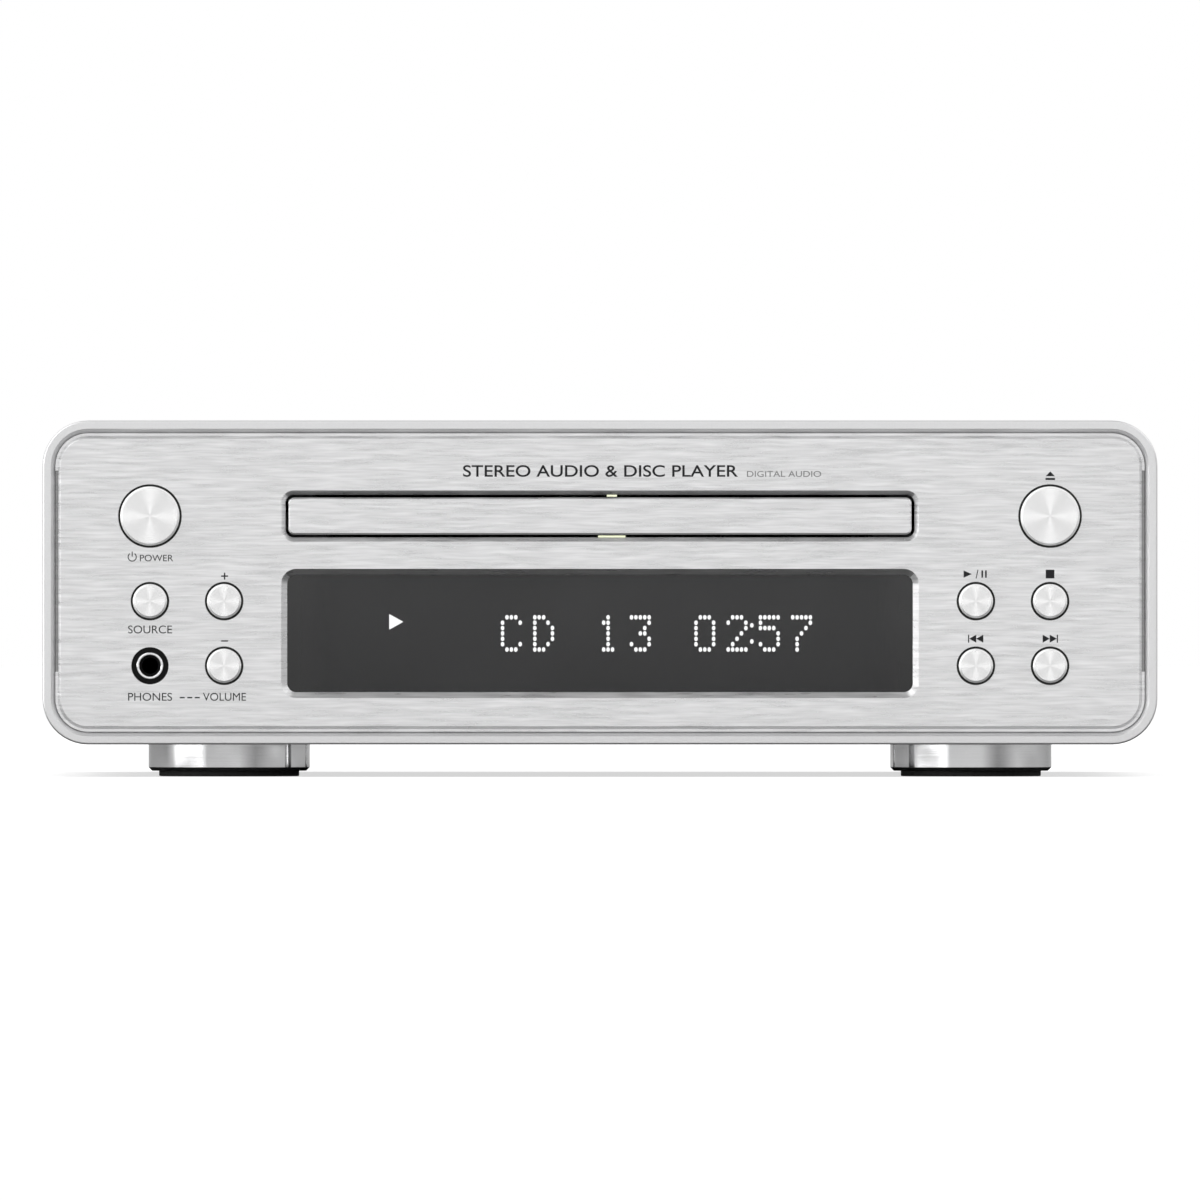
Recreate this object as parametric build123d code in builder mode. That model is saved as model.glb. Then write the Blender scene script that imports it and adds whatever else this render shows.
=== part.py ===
"""A compact disc player: an aluminium sleeve case with a motor-driven disc drawer.

Millimetres. X runs to the right seen from the front, Y towards the back and Z up.
The origin is on the surface that the player stands on, under the centre of its outline.
"""

import os
from math import acos, atan2, cos, degrees, hypot, pi, radians, sin, tan

from build123d import *

os.makedirs("parts", exist_ok=True)

# ---------------------------------------------------------------- driving dimensions

# The whole player
OVERALL_DEPTH = 288.0
CASE_WIDTH = 245.0
CASE_HEIGHT = 71.2
CASE_RADIUS = 10.0
CASE_WALL = 2.7
FOOT_HEIGHT = 7.1

# Front panel
PANEL_THICKNESS = 5.0
PANEL_GAP = 0.1
LAND = 0.6
FACE_STEP = 0.6
RIM_BEVEL = 0.9
LARGE_PROUD = 2.4
SMALL_PROUD = 2.0

# Openings in the front panel
DRAWER_Z = 57.3
DRAWER_OPENING = (138.2, 9.34)
DRAWER_BEVEL = 0.95
WINDOW_Z = 31.5
WINDOW_OPENING = (137.5, 25.8)
WINDOW_BEVEL = 1.3

# Controls: place of each button's centre across the front, (x, z)
OUTER_X = 98.9
INNER_X = 82.6
UPPER_Z = 38.6
LOWER_Z = 24.4
LARGE_BUTTONS = {"button_power": (-OUTER_X, DRAWER_Z), "button_eject": (OUTER_X, DRAWER_Z)}
SMALL_BUTTONS = {
    "button_source": (-OUTER_X, UPPER_Z),
    "button_volume_up": (-INNER_X, UPPER_Z),
    "button_volume_down": (-INNER_X, LOWER_Z),
    "button_play_pause": (INNER_X, UPPER_Z),
    "button_stop": (OUTER_X, UPPER_Z),
    "button_previous": (INNER_X, LOWER_Z),
    "button_next": (OUTER_X, LOWER_Z),
}
PHONES = (-OUTER_X, LOWER_Z)
LARGE_HOLE = 7.0
SMALL_HOLE = 4.25
PHONES_HOLE = 4.1
BUTTON_GAP = 0.5
BUTTON_TRAVEL = 0.8

# Back panel
BACK_THICKNESS = 3.0
JACK_REACH = 9.6

# Places that follow from them
FRONT = -OVERALL_DEPTH / 2 + LARGE_PROUD
BACK = OVERALL_DEPTH / 2 - JACK_REACH
SLEEVE_END = BACK - BACK_THICKNESS
PANEL_BACK = FRONT + PANEL_THICKNESS
BASE = FOOT_HEIGHT
FLOOR = BASE + CASE_WALL
MID = BASE + CASE_HEIGHT / 2
INNER_WIDTH = CASE_WIDTH - 2 * CASE_WALL
INNER_HEIGHT = CASE_HEIGHT - 2 * CASE_WALL
INNER_RADIUS = CASE_RADIUS - CASE_WALL

# Drawer: tray, disc recess and travel
SPINDLE_Y = -70.0
TRAY_HALF = 66.0
TRAY_BOTTOM = 53.9
TRAY_TOP = 60.3
DISC_SEAT = 56.5
FASCIA_THICKNESS = 3.0
TRAY_FRONT = FRONT + FASCIA_THICKNESS
TRAY_END = TRAY_FRONT + 175.0
DRAWER_TRAVEL = 133.0

# Gear train of the drawer
MODULE = 1.0
PRESSURE = radians(20)
BACKLASH = 0.16
ADDENDUM = 0.8 * MODULE
DEDENDUM = 1.05 * MODULE
DRIVE_TEETH = 20
PINION_TEETH = 12
DRIVE_PITCH = MODULE * DRIVE_TEETH / 2
PINION_PITCH = MODULE * PINION_TEETH / 2
RACK_PITCH_X = -TRAY_HALF - DEDENDUM
DRIVE_GEAR_AT = (RACK_PITCH_X - DRIVE_PITCH, -124.0)
TOOTH_STEP = 360 / DRIVE_TEETH
PINION_DIRECTION = 7.5 * TOOTH_STEP
PULLEY_GEAR_AT = (
    DRIVE_GEAR_AT[0] + (DRIVE_PITCH + PINION_PITCH) * cos(radians(PINION_DIRECTION)),
    DRIVE_GEAR_AT[1] + (DRIVE_PITCH + PINION_PITCH) * sin(radians(PINION_DIRECTION)),
)
LOADING_MOTOR_AT = (-92.0, -84.0)
GEAR_Z = (53.9, 58.2)
PULLEY_Z = (58.8, 62.4)
PULLEY_RADIUS = 11.0
MOTOR_PULLEY_RADIUS = 2.5
BELT_Z = (60.0, 61.2)
BELT_THICKNESS = 1.2
BELT_GAP = 0.1

# Optical unit: a frame that tilts about its back edge to lower the turntable
PIVOT = (20.0, 46.0)
LIFT_ANGLE = radians(4.0)
LIFT_PIN_Y = -100.5
LIFT_PIN_X = 20.0
CAM_TRAVEL = 14.0
ROD_Z = 49.0
ROD_X = (-24.0, 20.0)
LENS_Y = SPINDLE_Y + 36.0
FEED_SCREW_X = 25.5


# ---------------------------------------------------------------- helpers


def save(piece, name):
    """Labels a finished piece and writes it to its own STEP file."""
    piece.part.label = name
    export_step(piece.part, f"parts/{name}.step")


def facing(y):
    """The upright plane at depth y seen from the front: sketch in (x, z), extrude towards the front."""
    return Plane.XZ.offset(-y)


def span(x, y, z, mode=Mode.ADD):
    """A block between two limits along each axis, in the part being built."""
    with Locations(((x[0] + x[1]) / 2, (y[0] + y[1]) / 2, (z[0] + z[1]) / 2)):
        Box(x[1] - x[0], y[1] - y[0], z[1] - z[0], mode=mode)


def rod_z(at, z, radius, mode=Mode.ADD):
    """An upright round bar at (x, y), between two heights, in the part being built."""
    with Locations((at[0], at[1], (z[0] + z[1]) / 2)):
        Cylinder(radius, z[1] - z[0], mode=mode)


def rod_y(at, y, radius, mode=Mode.ADD):
    """A round bar from front to back at (x, z), in the part being built."""
    with Locations((at[0], (y[0] + y[1]) / 2, at[1])):
        Cylinder(radius, y[1] - y[0], rotation=(90, 0, 0), mode=mode)


def rod_x(at, x, radius, mode=Mode.ADD):
    """A round bar from left to right at (y, z), in the part being built."""
    with Locations(((x[0] + x[1]) / 2, at[0], at[1])):
        Cylinder(radius, x[1] - x[0], rotation=(0, 90, 0), mode=mode)


def mouth(part, size, z):
    """The front edges of an opening of this size in the panel's face, centred at height z."""
    front_edges = part.edges().filter_by_position(Axis.Y, FRONT - 0.01, FRONT + 0.01)
    return front_edges.filter_by(
        lambda e: abs(e.center().X) < size[0] / 2 + 0.1 and abs(e.center().Z - z) < size[1] / 2 + 0.1
    )


def tooth_half_angle(radius, pitch_radius):
    """Half the angle that an involute tooth takes up at this radius."""
    base_radius = pitch_radius * cos(PRESSURE)
    roll = acos(min(1.0, base_radius / radius))
    at_pitch = (pi * MODULE / 2 - BACKLASH) / (2 * pitch_radius)
    return at_pitch + (tan(PRESSURE) - PRESSURE) - (tan(roll) - roll)


def tooth_outline(teeth):
    """One involute tooth of a gear, pointing along X from the gear's centre."""
    pitch_radius = MODULE * teeth / 2
    root = pitch_radius - DEDENDUM
    tip = pitch_radius + ADDENDUM
    flank_start = max(root, pitch_radius * cos(PRESSURE))
    flank = [flank_start, (flank_start + tip) / 2, tip]
    left, right = (
        [Vector(r, 0).rotate(Axis.Z, side * degrees(tooth_half_angle(r, pitch_radius))) for r in flank]
        for side in (1, -1)
    )
    left_foot, right_foot = (side[0] * (0.9 * root / flank_start) for side in (left, right))
    with BuildSketch() as tooth:
        with BuildLine():
            Line(left_foot, left[0])
            ThreePointArc(*left)
            Line(left[2], right[2])
            ThreePointArc(*right)
            Line(right[0], right_foot)
            Line(right_foot, left_foot)
        make_face()
    return tooth.sketch


def gear_outline(at, height, teeth, phase):
    """A spur gear's outline at this height, with a tooth half a step on from the angle phase."""
    tooth = tooth_outline(teeth)
    with BuildSketch(Plane.XY.offset(height)) as outline:
        with Locations(at):
            Circle(MODULE * teeth / 2 - DEDENDUM)
            with PolarLocations(0, teeth, start_angle=phase + 180 / teeth):
                add(tooth)
    return outline.sketch


def rounded_slab(size, radius, z, y_front, y_back):
    """An upright rounded plate centred at (0, z), in the part being built."""
    with BuildSketch(facing(y_back)) as outline:
        with Locations((0, z)):
            RectangleRounded(size[0], size[1], radius)
    extrude(outline.sketch, amount=y_back - y_front)


# ---------------------------------------------------------------- case

BOSS_X = 115.5
BOSS_Z = 28.6
BOSS_RADIUS = 4.6
BOSS_LENGTH = 22.0
SCREW_RADIUS = 1.5
TAPPED_RADIUS = 1.55
FOOT_X = (81.8, 83.8)
FOOT_Y = (FRONT + 34.0, BACK - 34.0)
FOOT_BOLT_RADIUS = 2.0
FOOT_PLACES = {
    "foot_front_left": (-FOOT_X[0], FOOT_Y[0]),
    "foot_front_right": (FOOT_X[0], FOOT_Y[0]),
    "foot_back_left": (-FOOT_X[1], FOOT_Y[1]),
    "foot_back_right": (FOOT_X[1], FOOT_Y[1]),
}

# Extruded sleeve, bevelled inside its front rim, with screw bosses in its back corners
with BuildPart() as case_sleeve:
    with BuildSketch(facing(SLEEVE_END)):
        with Locations((0, MID)):
            RectangleRounded(CASE_WIDTH, CASE_HEIGHT, CASE_RADIUS)
            RectangleRounded(INNER_WIDTH, INNER_HEIGHT, INNER_RADIUS, mode=Mode.SUBTRACT)
    extrude(amount=SLEEVE_END - FRONT)
    chamfer(case_sleeve.faces().sort_by(Axis.Y)[0].inner_wires()[0].edges(), length=RIM_BEVEL)
    fillet(case_sleeve.faces().sort_by(Axis.Y)[0].outer_wire().edges(), radius=0.4)
    with BuildSketch(facing(SLEEVE_END)):
        with Locations((0, MID)):
            with GridLocations(2 * BOSS_X, 2 * BOSS_Z, 2, 2):
                Circle(BOSS_RADIUS)
    extrude(amount=BOSS_LENGTH)
    with BuildSketch(facing(SLEEVE_END)):
        with Locations((0, MID)):
            with GridLocations(2 * BOSS_X, 2 * BOSS_Z, 2, 2):
                Circle(TAPPED_RADIUS)
    extrude(amount=BOSS_LENGTH - 6, mode=Mode.SUBTRACT)
    for place in FOOT_PLACES.values():
        rod_z(place, (BASE - 1, FLOOR + 1), FOOT_BOLT_RADIUS + 0.2, mode=Mode.SUBTRACT)
save(case_sleeve, "case_sleeve")

# Folded steel floor that carries the works; its front lip is screwed to the front panel
PLATE_TOP = FLOOR + 1.5
POST_TOP = 41.0
LOADER_POSTS = ((-64.0, -108.0), (64.0, -108.0), (-64.0, 36.0), (64.0, 36.0))
POWER_BOARD = ((-108.0, -42.0), (-24.0, 18.0))
MAIN_BOARD = ((-18.0, 108.0), (56.0, 126.0))
BOARD_Z = (17.0, 18.6)
BOARD_INSET = 5.0
TRANSFORMER_AT = (-78.0, 78.0)
FLOOR_BOARDS = (POWER_BOARD, MAIN_BOARD)
BOARD_SCREWS = [
    (x + side_x, y + side_y)
    for board in FLOOR_BOARDS
    for x, side_x in zip(board[0], (BOARD_INSET, -BOARD_INSET))
    for y, side_y in zip(board[1], (BOARD_INSET, -BOARD_INSET))
]
with BuildPart() as chassis_plate:
    span((-110, 110), (PANEL_BACK + 0.2, SLEEVE_END - 2), (FLOOR, PLATE_TOP))
    span((-110, 110), (PANEL_BACK + 0.2, PANEL_BACK + 1.7), (PLATE_TOP, 15.5))
    for place in LOADER_POSTS:
        rod_z(place, (PLATE_TOP, POST_TOP), 4)
        rod_z(place, (POST_TOP - 10, POST_TOP), TAPPED_RADIUS, mode=Mode.SUBTRACT)
    for place in BOARD_SCREWS:
        rod_z(place, (PLATE_TOP, BOARD_Z[0]), 3)
        rod_z(place, (FLOOR + 0.5, BOARD_Z[0]), TAPPED_RADIUS, mode=Mode.SUBTRACT)
    for place in FOOT_PLACES.values():
        rod_z(place, (PLATE_TOP, PLATE_TOP + 4), 4)
        rod_z(place, (FLOOR, PLATE_TOP + 4), FOOT_BOLT_RADIUS + 0.05, mode=Mode.SUBTRACT)
    rod_z(TRANSFORMER_AT, (FLOOR, PLATE_TOP), 3.2, mode=Mode.SUBTRACT)
save(chassis_plate, "chassis_plate")

# ---------------------------------------------------------------- feet

PAD_RADIUS = 15.45
PAD_HEIGHT = 1.7
FOOT_RADIUS = 17.8
FOOT_BOTTOM = 1.2


def build_foot(name, at):
    """A turned foot, recessed below for its rubber pad and for the head of its bolt."""
    with BuildPart() as foot:
        rod_z(at, (FOOT_BOTTOM, BASE), FOOT_RADIUS)
        bottom_edge = foot.edges().group_by(Axis.Z)[0]
        chamfer(bottom_edge, length=0.8)
        rod_z(at, (FOOT_BOTTOM, PAD_HEIGHT), PAD_RADIUS + 0.1, mode=Mode.SUBTRACT)
        rod_z(at, (PAD_HEIGHT, 4.6), 4.0, mode=Mode.SUBTRACT)
        rod_z(at, (4.6, BASE), FOOT_BOLT_RADIUS + 0.2, mode=Mode.SUBTRACT)
    save(foot, name)


for foot_name, foot_place in FOOT_PLACES.items():
    build_foot(foot_name, foot_place)

with BuildPart() as foot_pads:
    for place in FOOT_PLACES.values():
        rod_z(place, (0, PAD_HEIGHT), PAD_RADIUS)
    fillet(foot_pads.edges().group_by(Axis.Z)[0], radius=0.3)
save(foot_pads, "foot_pads")

with BuildPart() as foot_bolts:
    for place in FOOT_PLACES.values():
        rod_z(place, (2.2, 4.6), 3.6)
        rod_z(place, (4.6, PLATE_TOP + 5), FOOT_BOLT_RADIUS)
save(foot_bolts, "foot_bolts")

# ---------------------------------------------------------------- front panel

PANEL_SIZE = (INNER_WIDTH - 2 * PANEL_GAP, INNER_HEIGHT - 2 * PANEL_GAP)
PANEL_RADIUS = INNER_RADIUS - PANEL_GAP
SIDE_SLOT_Z = (23.1, 67.3)
SIDE_SLOT_DEPTH = 2.0

with BuildPart() as front_panel:
    rounded_slab(PANEL_SIZE, PANEL_RADIUS, MID, FRONT + FACE_STEP, PANEL_BACK)
    with BuildSketch(facing(FRONT + FACE_STEP)):
        with Locations((0, MID)):
            RectangleRounded(PANEL_SIZE[0] - 2 * LAND, PANEL_SIZE[1] - 2 * LAND, PANEL_RADIUS - LAND)
    extrude(amount=FACE_STEP, taper=45)
    with BuildSketch(facing(PANEL_BACK)):
        with Locations((0, DRAWER_Z)):
            RectangleRounded(*DRAWER_OPENING, 1.8)
        with Locations((0, WINDOW_Z)):
            RectangleRounded(*WINDOW_OPENING, 2.0)
        with Locations(*LARGE_BUTTONS.values()):
            Circle(LARGE_HOLE)
        with Locations(*SMALL_BUTTONS.values()):
            Circle(SMALL_HOLE)
        with Locations(PHONES):
            Circle(PHONES_HOLE)
    extrude(amount=PANEL_THICKNESS, mode=Mode.SUBTRACT)
    chamfer(mouth(front_panel, DRAWER_OPENING, DRAWER_Z), length=DRAWER_BEVEL)
    chamfer(mouth(front_panel, WINDOW_OPENING, WINDOW_Z), length=WINDOW_BEVEL)
    for side in (-1, 1):
        slot_x = sorted((side * (PANEL_SIZE[0] / 2 - 0.65), side * (PANEL_SIZE[0] / 2 + 1)))
        span(slot_x, (FRONT, FRONT + SIDE_SLOT_DEPTH), SIDE_SLOT_Z, mode=Mode.SUBTRACT)
save(front_panel, "front_panel")

# Smoked window: a plug that fills the opening and a flange glued behind the panel
FLANGE_BACK = PANEL_BACK + 1.2
with BuildPart() as display_window:
    rounded_slab((142, 30), 2.0, WINDOW_Z, PANEL_BACK, FLANGE_BACK)
    rounded_slab(
        (WINDOW_OPENING[0] - 0.2, WINDOW_OPENING[1] - 0.2), 1.9, WINDOW_Z, FRONT + WINDOW_BEVEL, PANEL_BACK
    )
save(display_window, "display_window")

FRONT_BOARD_Y = (PANEL_BACK + 8.6, PANEL_BACK + 10.2)
with BuildPart() as display_module:
    span((-66, 66), (FLANGE_BACK + 0.4, FRONT_BOARD_Y[0]), (WINDOW_Z - 13.5, WINDOW_Z + 13.5))
save(display_module, "display_module")

# Two small light guides in the gap round the drawer, above and below its fascia
LAMP_X = 2.6
GAP_BOTTOM = DRAWER_Z - DRAWER_OPENING[1] / 2
GAP_TOP = DRAWER_Z + DRAWER_OPENING[1] / 2
with BuildPart() as drawer_lamps:
    span((LAMP_X - 3.0, LAMP_X + 3.0), (FRONT + 0.95, PANEL_BACK), (GAP_BOTTOM, GAP_BOTTOM + 0.4))
    span((LAMP_X - 1.1, LAMP_X + 1.1), (FRONT + 0.95, PANEL_BACK), (GAP_TOP - 0.4, GAP_TOP))
save(drawer_lamps, "drawer_lamps")

# ---------------------------------------------------------------- buttons, switches and front board

BUTTON_FLANGE = (PANEL_BACK + 0.1, PANEL_BACK + 1.1)
SWITCH_FRONT = FRONT_BOARD_Y[0] - 3.5
STEM_END = SWITCH_FRONT - BUTTON_TRAVEL - 0.2


def build_button(name, at, hole_radius, proud):
    """A turned cap with a flange that keeps it behind the panel and a stem that presses its switch."""
    cap_radius = hole_radius - BUTTON_GAP
    with BuildPart() as button:
        rod_y(at, (FRONT - proud, BUTTON_FLANGE[0]), cap_radius)
        chamfer(button.edges().group_by(Axis.Y)[0], length=0.45)
        rod_y(at, BUTTON_FLANGE, hole_radius + 0.8)
        rod_y(at, (BUTTON_FLANGE[1], STEM_END), 2.0)
    save(button, name)


for button_name, button_place in LARGE_BUTTONS.items():
    build_button(button_name, button_place, LARGE_HOLE, LARGE_PROUD)
for button_name, button_place in SMALL_BUTTONS.items():
    build_button(button_name, button_place, SMALL_HOLE, SMALL_PROUD)

BUTTON_PLACES = [*LARGE_BUTTONS.values(), *SMALL_BUTTONS.values()]
with BuildPart() as tact_switches:
    with BuildSketch(facing(FRONT_BOARD_Y[0])):
        with Locations(*BUTTON_PLACES):
            Rectangle(6, 6)
    extrude(amount=3.5)
save(tact_switches, "tact_switches")

SPACER_PLACES = [
    (side * x, z) for side in (-1, 1) for x, z in ((110.0, 45.5), (90.7, 31.5), (74.5, 31.5), (110.0, 64.0))
]
with BuildPart() as front_board:
    with BuildSketch(facing(FRONT_BOARD_Y[1])):
        with Locations((0, WINDOW_Z)):
            Rectangle(226, 31)
        for side in (-1, 1):
            with Locations((side * 101.75, DRAWER_Z)):
                Rectangle(22.5, 21)
        with Locations(PHONES):
            Circle(2.5, mode=Mode.SUBTRACT)
        with Locations(*SPACER_PLACES):
            Circle(SCREW_RADIUS + 0.1, mode=Mode.SUBTRACT)
    extrude(amount=FRONT_BOARD_Y[1] - FRONT_BOARD_Y[0])
save(front_board, "front_board")

with BuildPart() as board_spacers:
    with BuildSketch(facing(FRONT_BOARD_Y[0])):
        with Locations(*SPACER_PLACES):
            Circle(2.2)
            Circle(TAPPED_RADIUS, mode=Mode.SUBTRACT)
    extrude(amount=FRONT_BOARD_Y[0] - PANEL_BACK)
save(board_spacers, "board_spacers")

# ---------------------------------------------------------------- headphone socket

RING_DEPTH = 3.0
PLUG_BORE = 1.8
JACK_BODY_X = (PHONES[0] - 5.5, PHONES[0] + 5.5)
JACK_BODY_Z = (PHONES[1] - 5.5, PHONES[1] + 5.5)
with BuildPart() as headphone_jack:
    rod_y(PHONES, (FRONT, PANEL_BACK), PHONES_HOLE - 0.1)
    span(JACK_BODY_X, (PANEL_BACK, FRONT_BOARD_Y[0]), JACK_BODY_Z)
    rod_y(PHONES, (FRONT, FRONT + RING_DEPTH), 2.95, mode=Mode.SUBTRACT)
    rod_y(PHONES, (FRONT, FRONT_BOARD_Y[0]), PLUG_BORE, mode=Mode.SUBTRACT)
save(headphone_jack, "headphone_jack")

with BuildPart() as headphone_ring:
    rod_y(PHONES, (FRONT - 0.3, FRONT + RING_DEPTH), 2.95)
    rod_y(PHONES, (FRONT - 0.3, FRONT + RING_DEPTH), 2.35, mode=Mode.SUBTRACT)
    fillet(headphone_ring.edges().group_by(Axis.Y)[0], radius=0.2)
save(headphone_ring, "headphone_ring")

# ---------------------------------------------------------------- drawer

RECESS_RADIUS = 60.75
SMALL_RECESS_RADIUS = 40.5
SMALL_RECESS_SEAT = 55.4
SPINDLE_SLOT = 18.0
RACK_Z = (54.1, 58.1)
RACK_TEETH_BEHIND = 44
RACK_TEETH_AHEAD = 2
RACK_TIP = ADDENDUM + DEDENDUM

RACK_HALF = (pi * MODULE / 2 - BACKLASH) / 2
RACK_TIP_HALF = RACK_HALF - ADDENDUM * tan(PRESSURE)
RACK_ROOT_HALF = RACK_HALF + DEDENDUM * tan(PRESSURE)
with BuildSketch() as rack_tooth:
    with BuildLine():
        Polyline(
            (-RACK_TIP, -RACK_TIP_HALF),
            (0, -RACK_ROOT_HALF),
            (0.5, -RACK_ROOT_HALF),
            (0.5, RACK_ROOT_HALF),
            (0, RACK_ROOT_HALF),
            (-RACK_TIP, RACK_TIP_HALF),
            close=True,
        )
    make_face()

with BuildPart() as disc_tray:
    span((-TRAY_HALF, TRAY_HALF), (TRAY_FRONT, TRAY_END), (TRAY_BOTTOM, TRAY_TOP))
    # Runner on the right side
    span((TRAY_HALF, TRAY_HALF + 2.0), (TRAY_FRONT + 2, TRAY_END - 2), (55.2, 57.4))
    # Recesses for 120 mm and 80 mm discs
    rod_z((0, SPINDLE_Y), (DISC_SEAT, TRAY_TOP), RECESS_RADIUS, mode=Mode.SUBTRACT)
    rod_z((0, SPINDLE_Y), (SMALL_RECESS_SEAT, TRAY_TOP), SMALL_RECESS_RADIUS, mode=Mode.SUBTRACT)
    # Low deck behind the disc
    span((-57, 57), (SPINDLE_Y + 50, TRAY_END + 1), (57.6, TRAY_TOP), mode=Mode.SUBTRACT)
    # Slot for the turntable and the pickup, open at the back
    rod_z((0, SPINDLE_Y), (TRAY_BOTTOM, TRAY_TOP), SPINDLE_SLOT, mode=Mode.SUBTRACT)
    slot_x = (-SPINDLE_SLOT, SPINDLE_SLOT)
    span(slot_x, (SPINDLE_Y, TRAY_END + 1), (TRAY_BOTTOM, TRAY_TOP), mode=Mode.SUBTRACT)
    # Rack on the left side
    with BuildSketch(Plane.XY.offset(RACK_Z[0])):
        rack_steps = range(-RACK_TEETH_AHEAD, RACK_TEETH_BEHIND + 1)
        with Locations(*[(-TRAY_HALF, DRIVE_GEAR_AT[1] + step * pi * MODULE) for step in rack_steps]):
            add(rack_tooth.sketch)
    extrude(amount=RACK_Z[1] - RACK_Z[0])
save(disc_tray, "disc_tray")

FASCIA_SIZE = (136.9, 8.14)
with BuildPart() as drawer_fascia:
    rounded_slab(FASCIA_SIZE, 1.3, DRAWER_Z, FRONT, TRAY_FRONT)
    chamfer(drawer_fascia.edges().group_by(Axis.Y)[0], length=0.35)
save(drawer_fascia, "drawer_fascia")

# ---------------------------------------------------------------- loader

LOADER_BACK = 44.0
WALL_X = (70.0, 73.0)
WALL_TOP = 63.0
WING_Z = (50.0, 52.0)
LOADER_FRONT = PANEL_BACK + 2.1
GEAR_BORE = 1.55
EAR_X = (40.5, 43.5)
CAM_POSTS = (-16.0, 18.0)
CAM_FLANGE_Y = -106.0

with BuildPart() as loader_frame:
    span((-WALL_X[1], WALL_X[1]), (-118, LOADER_BACK), (POST_TOP, POST_TOP + 2))
    span((-40, 40), (-102, 27), (POST_TOP, POST_TOP + 2), mode=Mode.SUBTRACT)
    for side in (-1, 1):
        wall = sorted((side * WALL_X[0], side * WALL_X[1]))
        span(wall, (-118, LOADER_BACK), (POST_TOP + 2, WALL_TOP))
        span(wall, (LOADER_FRONT, -118), (48, WALL_TOP))
        span(sorted((side * 60, side * WALL_X[0])), (LOADER_FRONT, LOADER_BACK), (51.9, 53.6))
        span(sorted((side * 63, side * WALL_X[0])), (LOADER_FRONT, LOADER_BACK), (60.6, 62.0))
        ear = sorted((side * EAR_X[0], side * EAR_X[1]))
        span(ear, (PIVOT[0] - 4, PIVOT[0] + 4), (POST_TOP + 2, PIVOT[1] + 4))
        rod_x(PIVOT, ear, 2.05, mode=Mode.SUBTRACT)
    # Shelf for the gears and the motor
    with BuildSketch(Plane.XY.offset(WING_Z[0])):
        with BuildLine():
            Polyline(
                (-WALL_X[0], LOADER_FRONT), (-89, LOADER_FRONT), (-89, -119), (-105, -119),
                (-105, -68), (-WALL_X[0], -68), close=True,
            )
        make_face()
        with Locations(LOADING_MOTOR_AT):
            Circle(3.5, mode=Mode.SUBTRACT)
    extrude(amount=WING_Z[1] - WING_Z[0])
    # Window for the drive gear
    span((-WALL_X[1] - 0.1, -WALL_X[0] + 0.1), (LOADER_FRONT - 1, -112), (53.6, 60.0), mode=Mode.SUBTRACT)
    # Shouldered pins that the gears turn on
    rod_z(DRIVE_GEAR_AT, (WING_Z[1], GEAR_Z[0] - 0.2), 3)
    rod_z(DRIVE_GEAR_AT, (WING_Z[1], GEAR_Z[1] + 0.3), 1.5)
    rod_z(PULLEY_GEAR_AT, (WING_Z[1], GEAR_Z[0] - 0.2), 3)
    rod_z(PULLEY_GEAR_AT, (WING_Z[1], PULLEY_Z[1] + 0.5), 1.5)
    for place in LOADER_POSTS:
        rod_z(place, (POST_TOP, POST_TOP + 2), SCREW_RADIUS + 0.1, mode=Mode.SUBTRACT)
    for x in CAM_POSTS:
        rod_z((x, CAM_FLANGE_Y), (POST_TOP + 2, 46.0), 1.5)
save(loader_frame, "loader_frame")

drive_outline = gear_outline(DRIVE_GEAR_AT, GEAR_Z[0], DRIVE_TEETH, 0)
with BuildPart() as drive_gear:
    extrude(drive_outline, amount=GEAR_Z[1] - GEAR_Z[0])
    rod_z(DRIVE_GEAR_AT, GEAR_Z, GEAR_BORE, mode=Mode.SUBTRACT)
save(drive_gear, "drive_gear")

GROOVE_DEPTH = 1.5
GROOVE_Z = (BELT_Z[0] - 0.3, BELT_Z[1] + 0.3)
with BuildPart() as groove:
    rod_z(PULLEY_GEAR_AT, GROOVE_Z, PULLEY_RADIUS + 1)
    rod_z(PULLEY_GEAR_AT, GROOVE_Z, PULLEY_RADIUS - GROOVE_DEPTH, mode=Mode.SUBTRACT)

pinion_outline = gear_outline(PULLEY_GEAR_AT, GEAR_Z[0], PINION_TEETH, PINION_DIRECTION + 180)
with BuildPart() as pulley_gear:
    extrude(pinion_outline, amount=GEAR_Z[1] - GEAR_Z[0])
    rod_z(PULLEY_GEAR_AT, (GEAR_Z[1], PULLEY_Z[0]), 5)
    rod_z(PULLEY_GEAR_AT, PULLEY_Z, PULLEY_RADIUS)
    add(groove.part, mode=Mode.SUBTRACT)
    rod_z(PULLEY_GEAR_AT, (GEAR_Z[0], PULLEY_Z[1]), GEAR_BORE, mode=Mode.SUBTRACT)
save(pulley_gear, "pulley_gear")

with BuildPart() as motor_pulley:
    rod_z(LOADING_MOTOR_AT, (PULLEY_Z[0], GROOVE_Z[0]), MOTOR_PULLEY_RADIUS + GROOVE_DEPTH)
    rod_z(LOADING_MOTOR_AT, GROOVE_Z, MOTOR_PULLEY_RADIUS)
    rod_z(LOADING_MOTOR_AT, (GROOVE_Z[1], PULLEY_Z[1]), MOTOR_PULLEY_RADIUS + GROOVE_DEPTH)
    rod_z(LOADING_MOTOR_AT, (WING_Z[0] + 0.6, PULLEY_Z[0]), 1.0)
save(motor_pulley, "motor_pulley")


def belt_outline(growth):
    """The outline of a belt round both pulleys, this far out from the bottoms of their grooves."""
    with BuildSketch(Plane.XY.offset(BELT_Z[0])) as circles:
        with Locations(PULLEY_GEAR_AT):
            Circle(PULLEY_RADIUS - GROOVE_DEPTH + growth)
        with Locations(LOADING_MOTOR_AT):
            Circle(MOTOR_PULLEY_RADIUS + growth)
        make_hull(circles.edges())
    return circles.sketch


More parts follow.
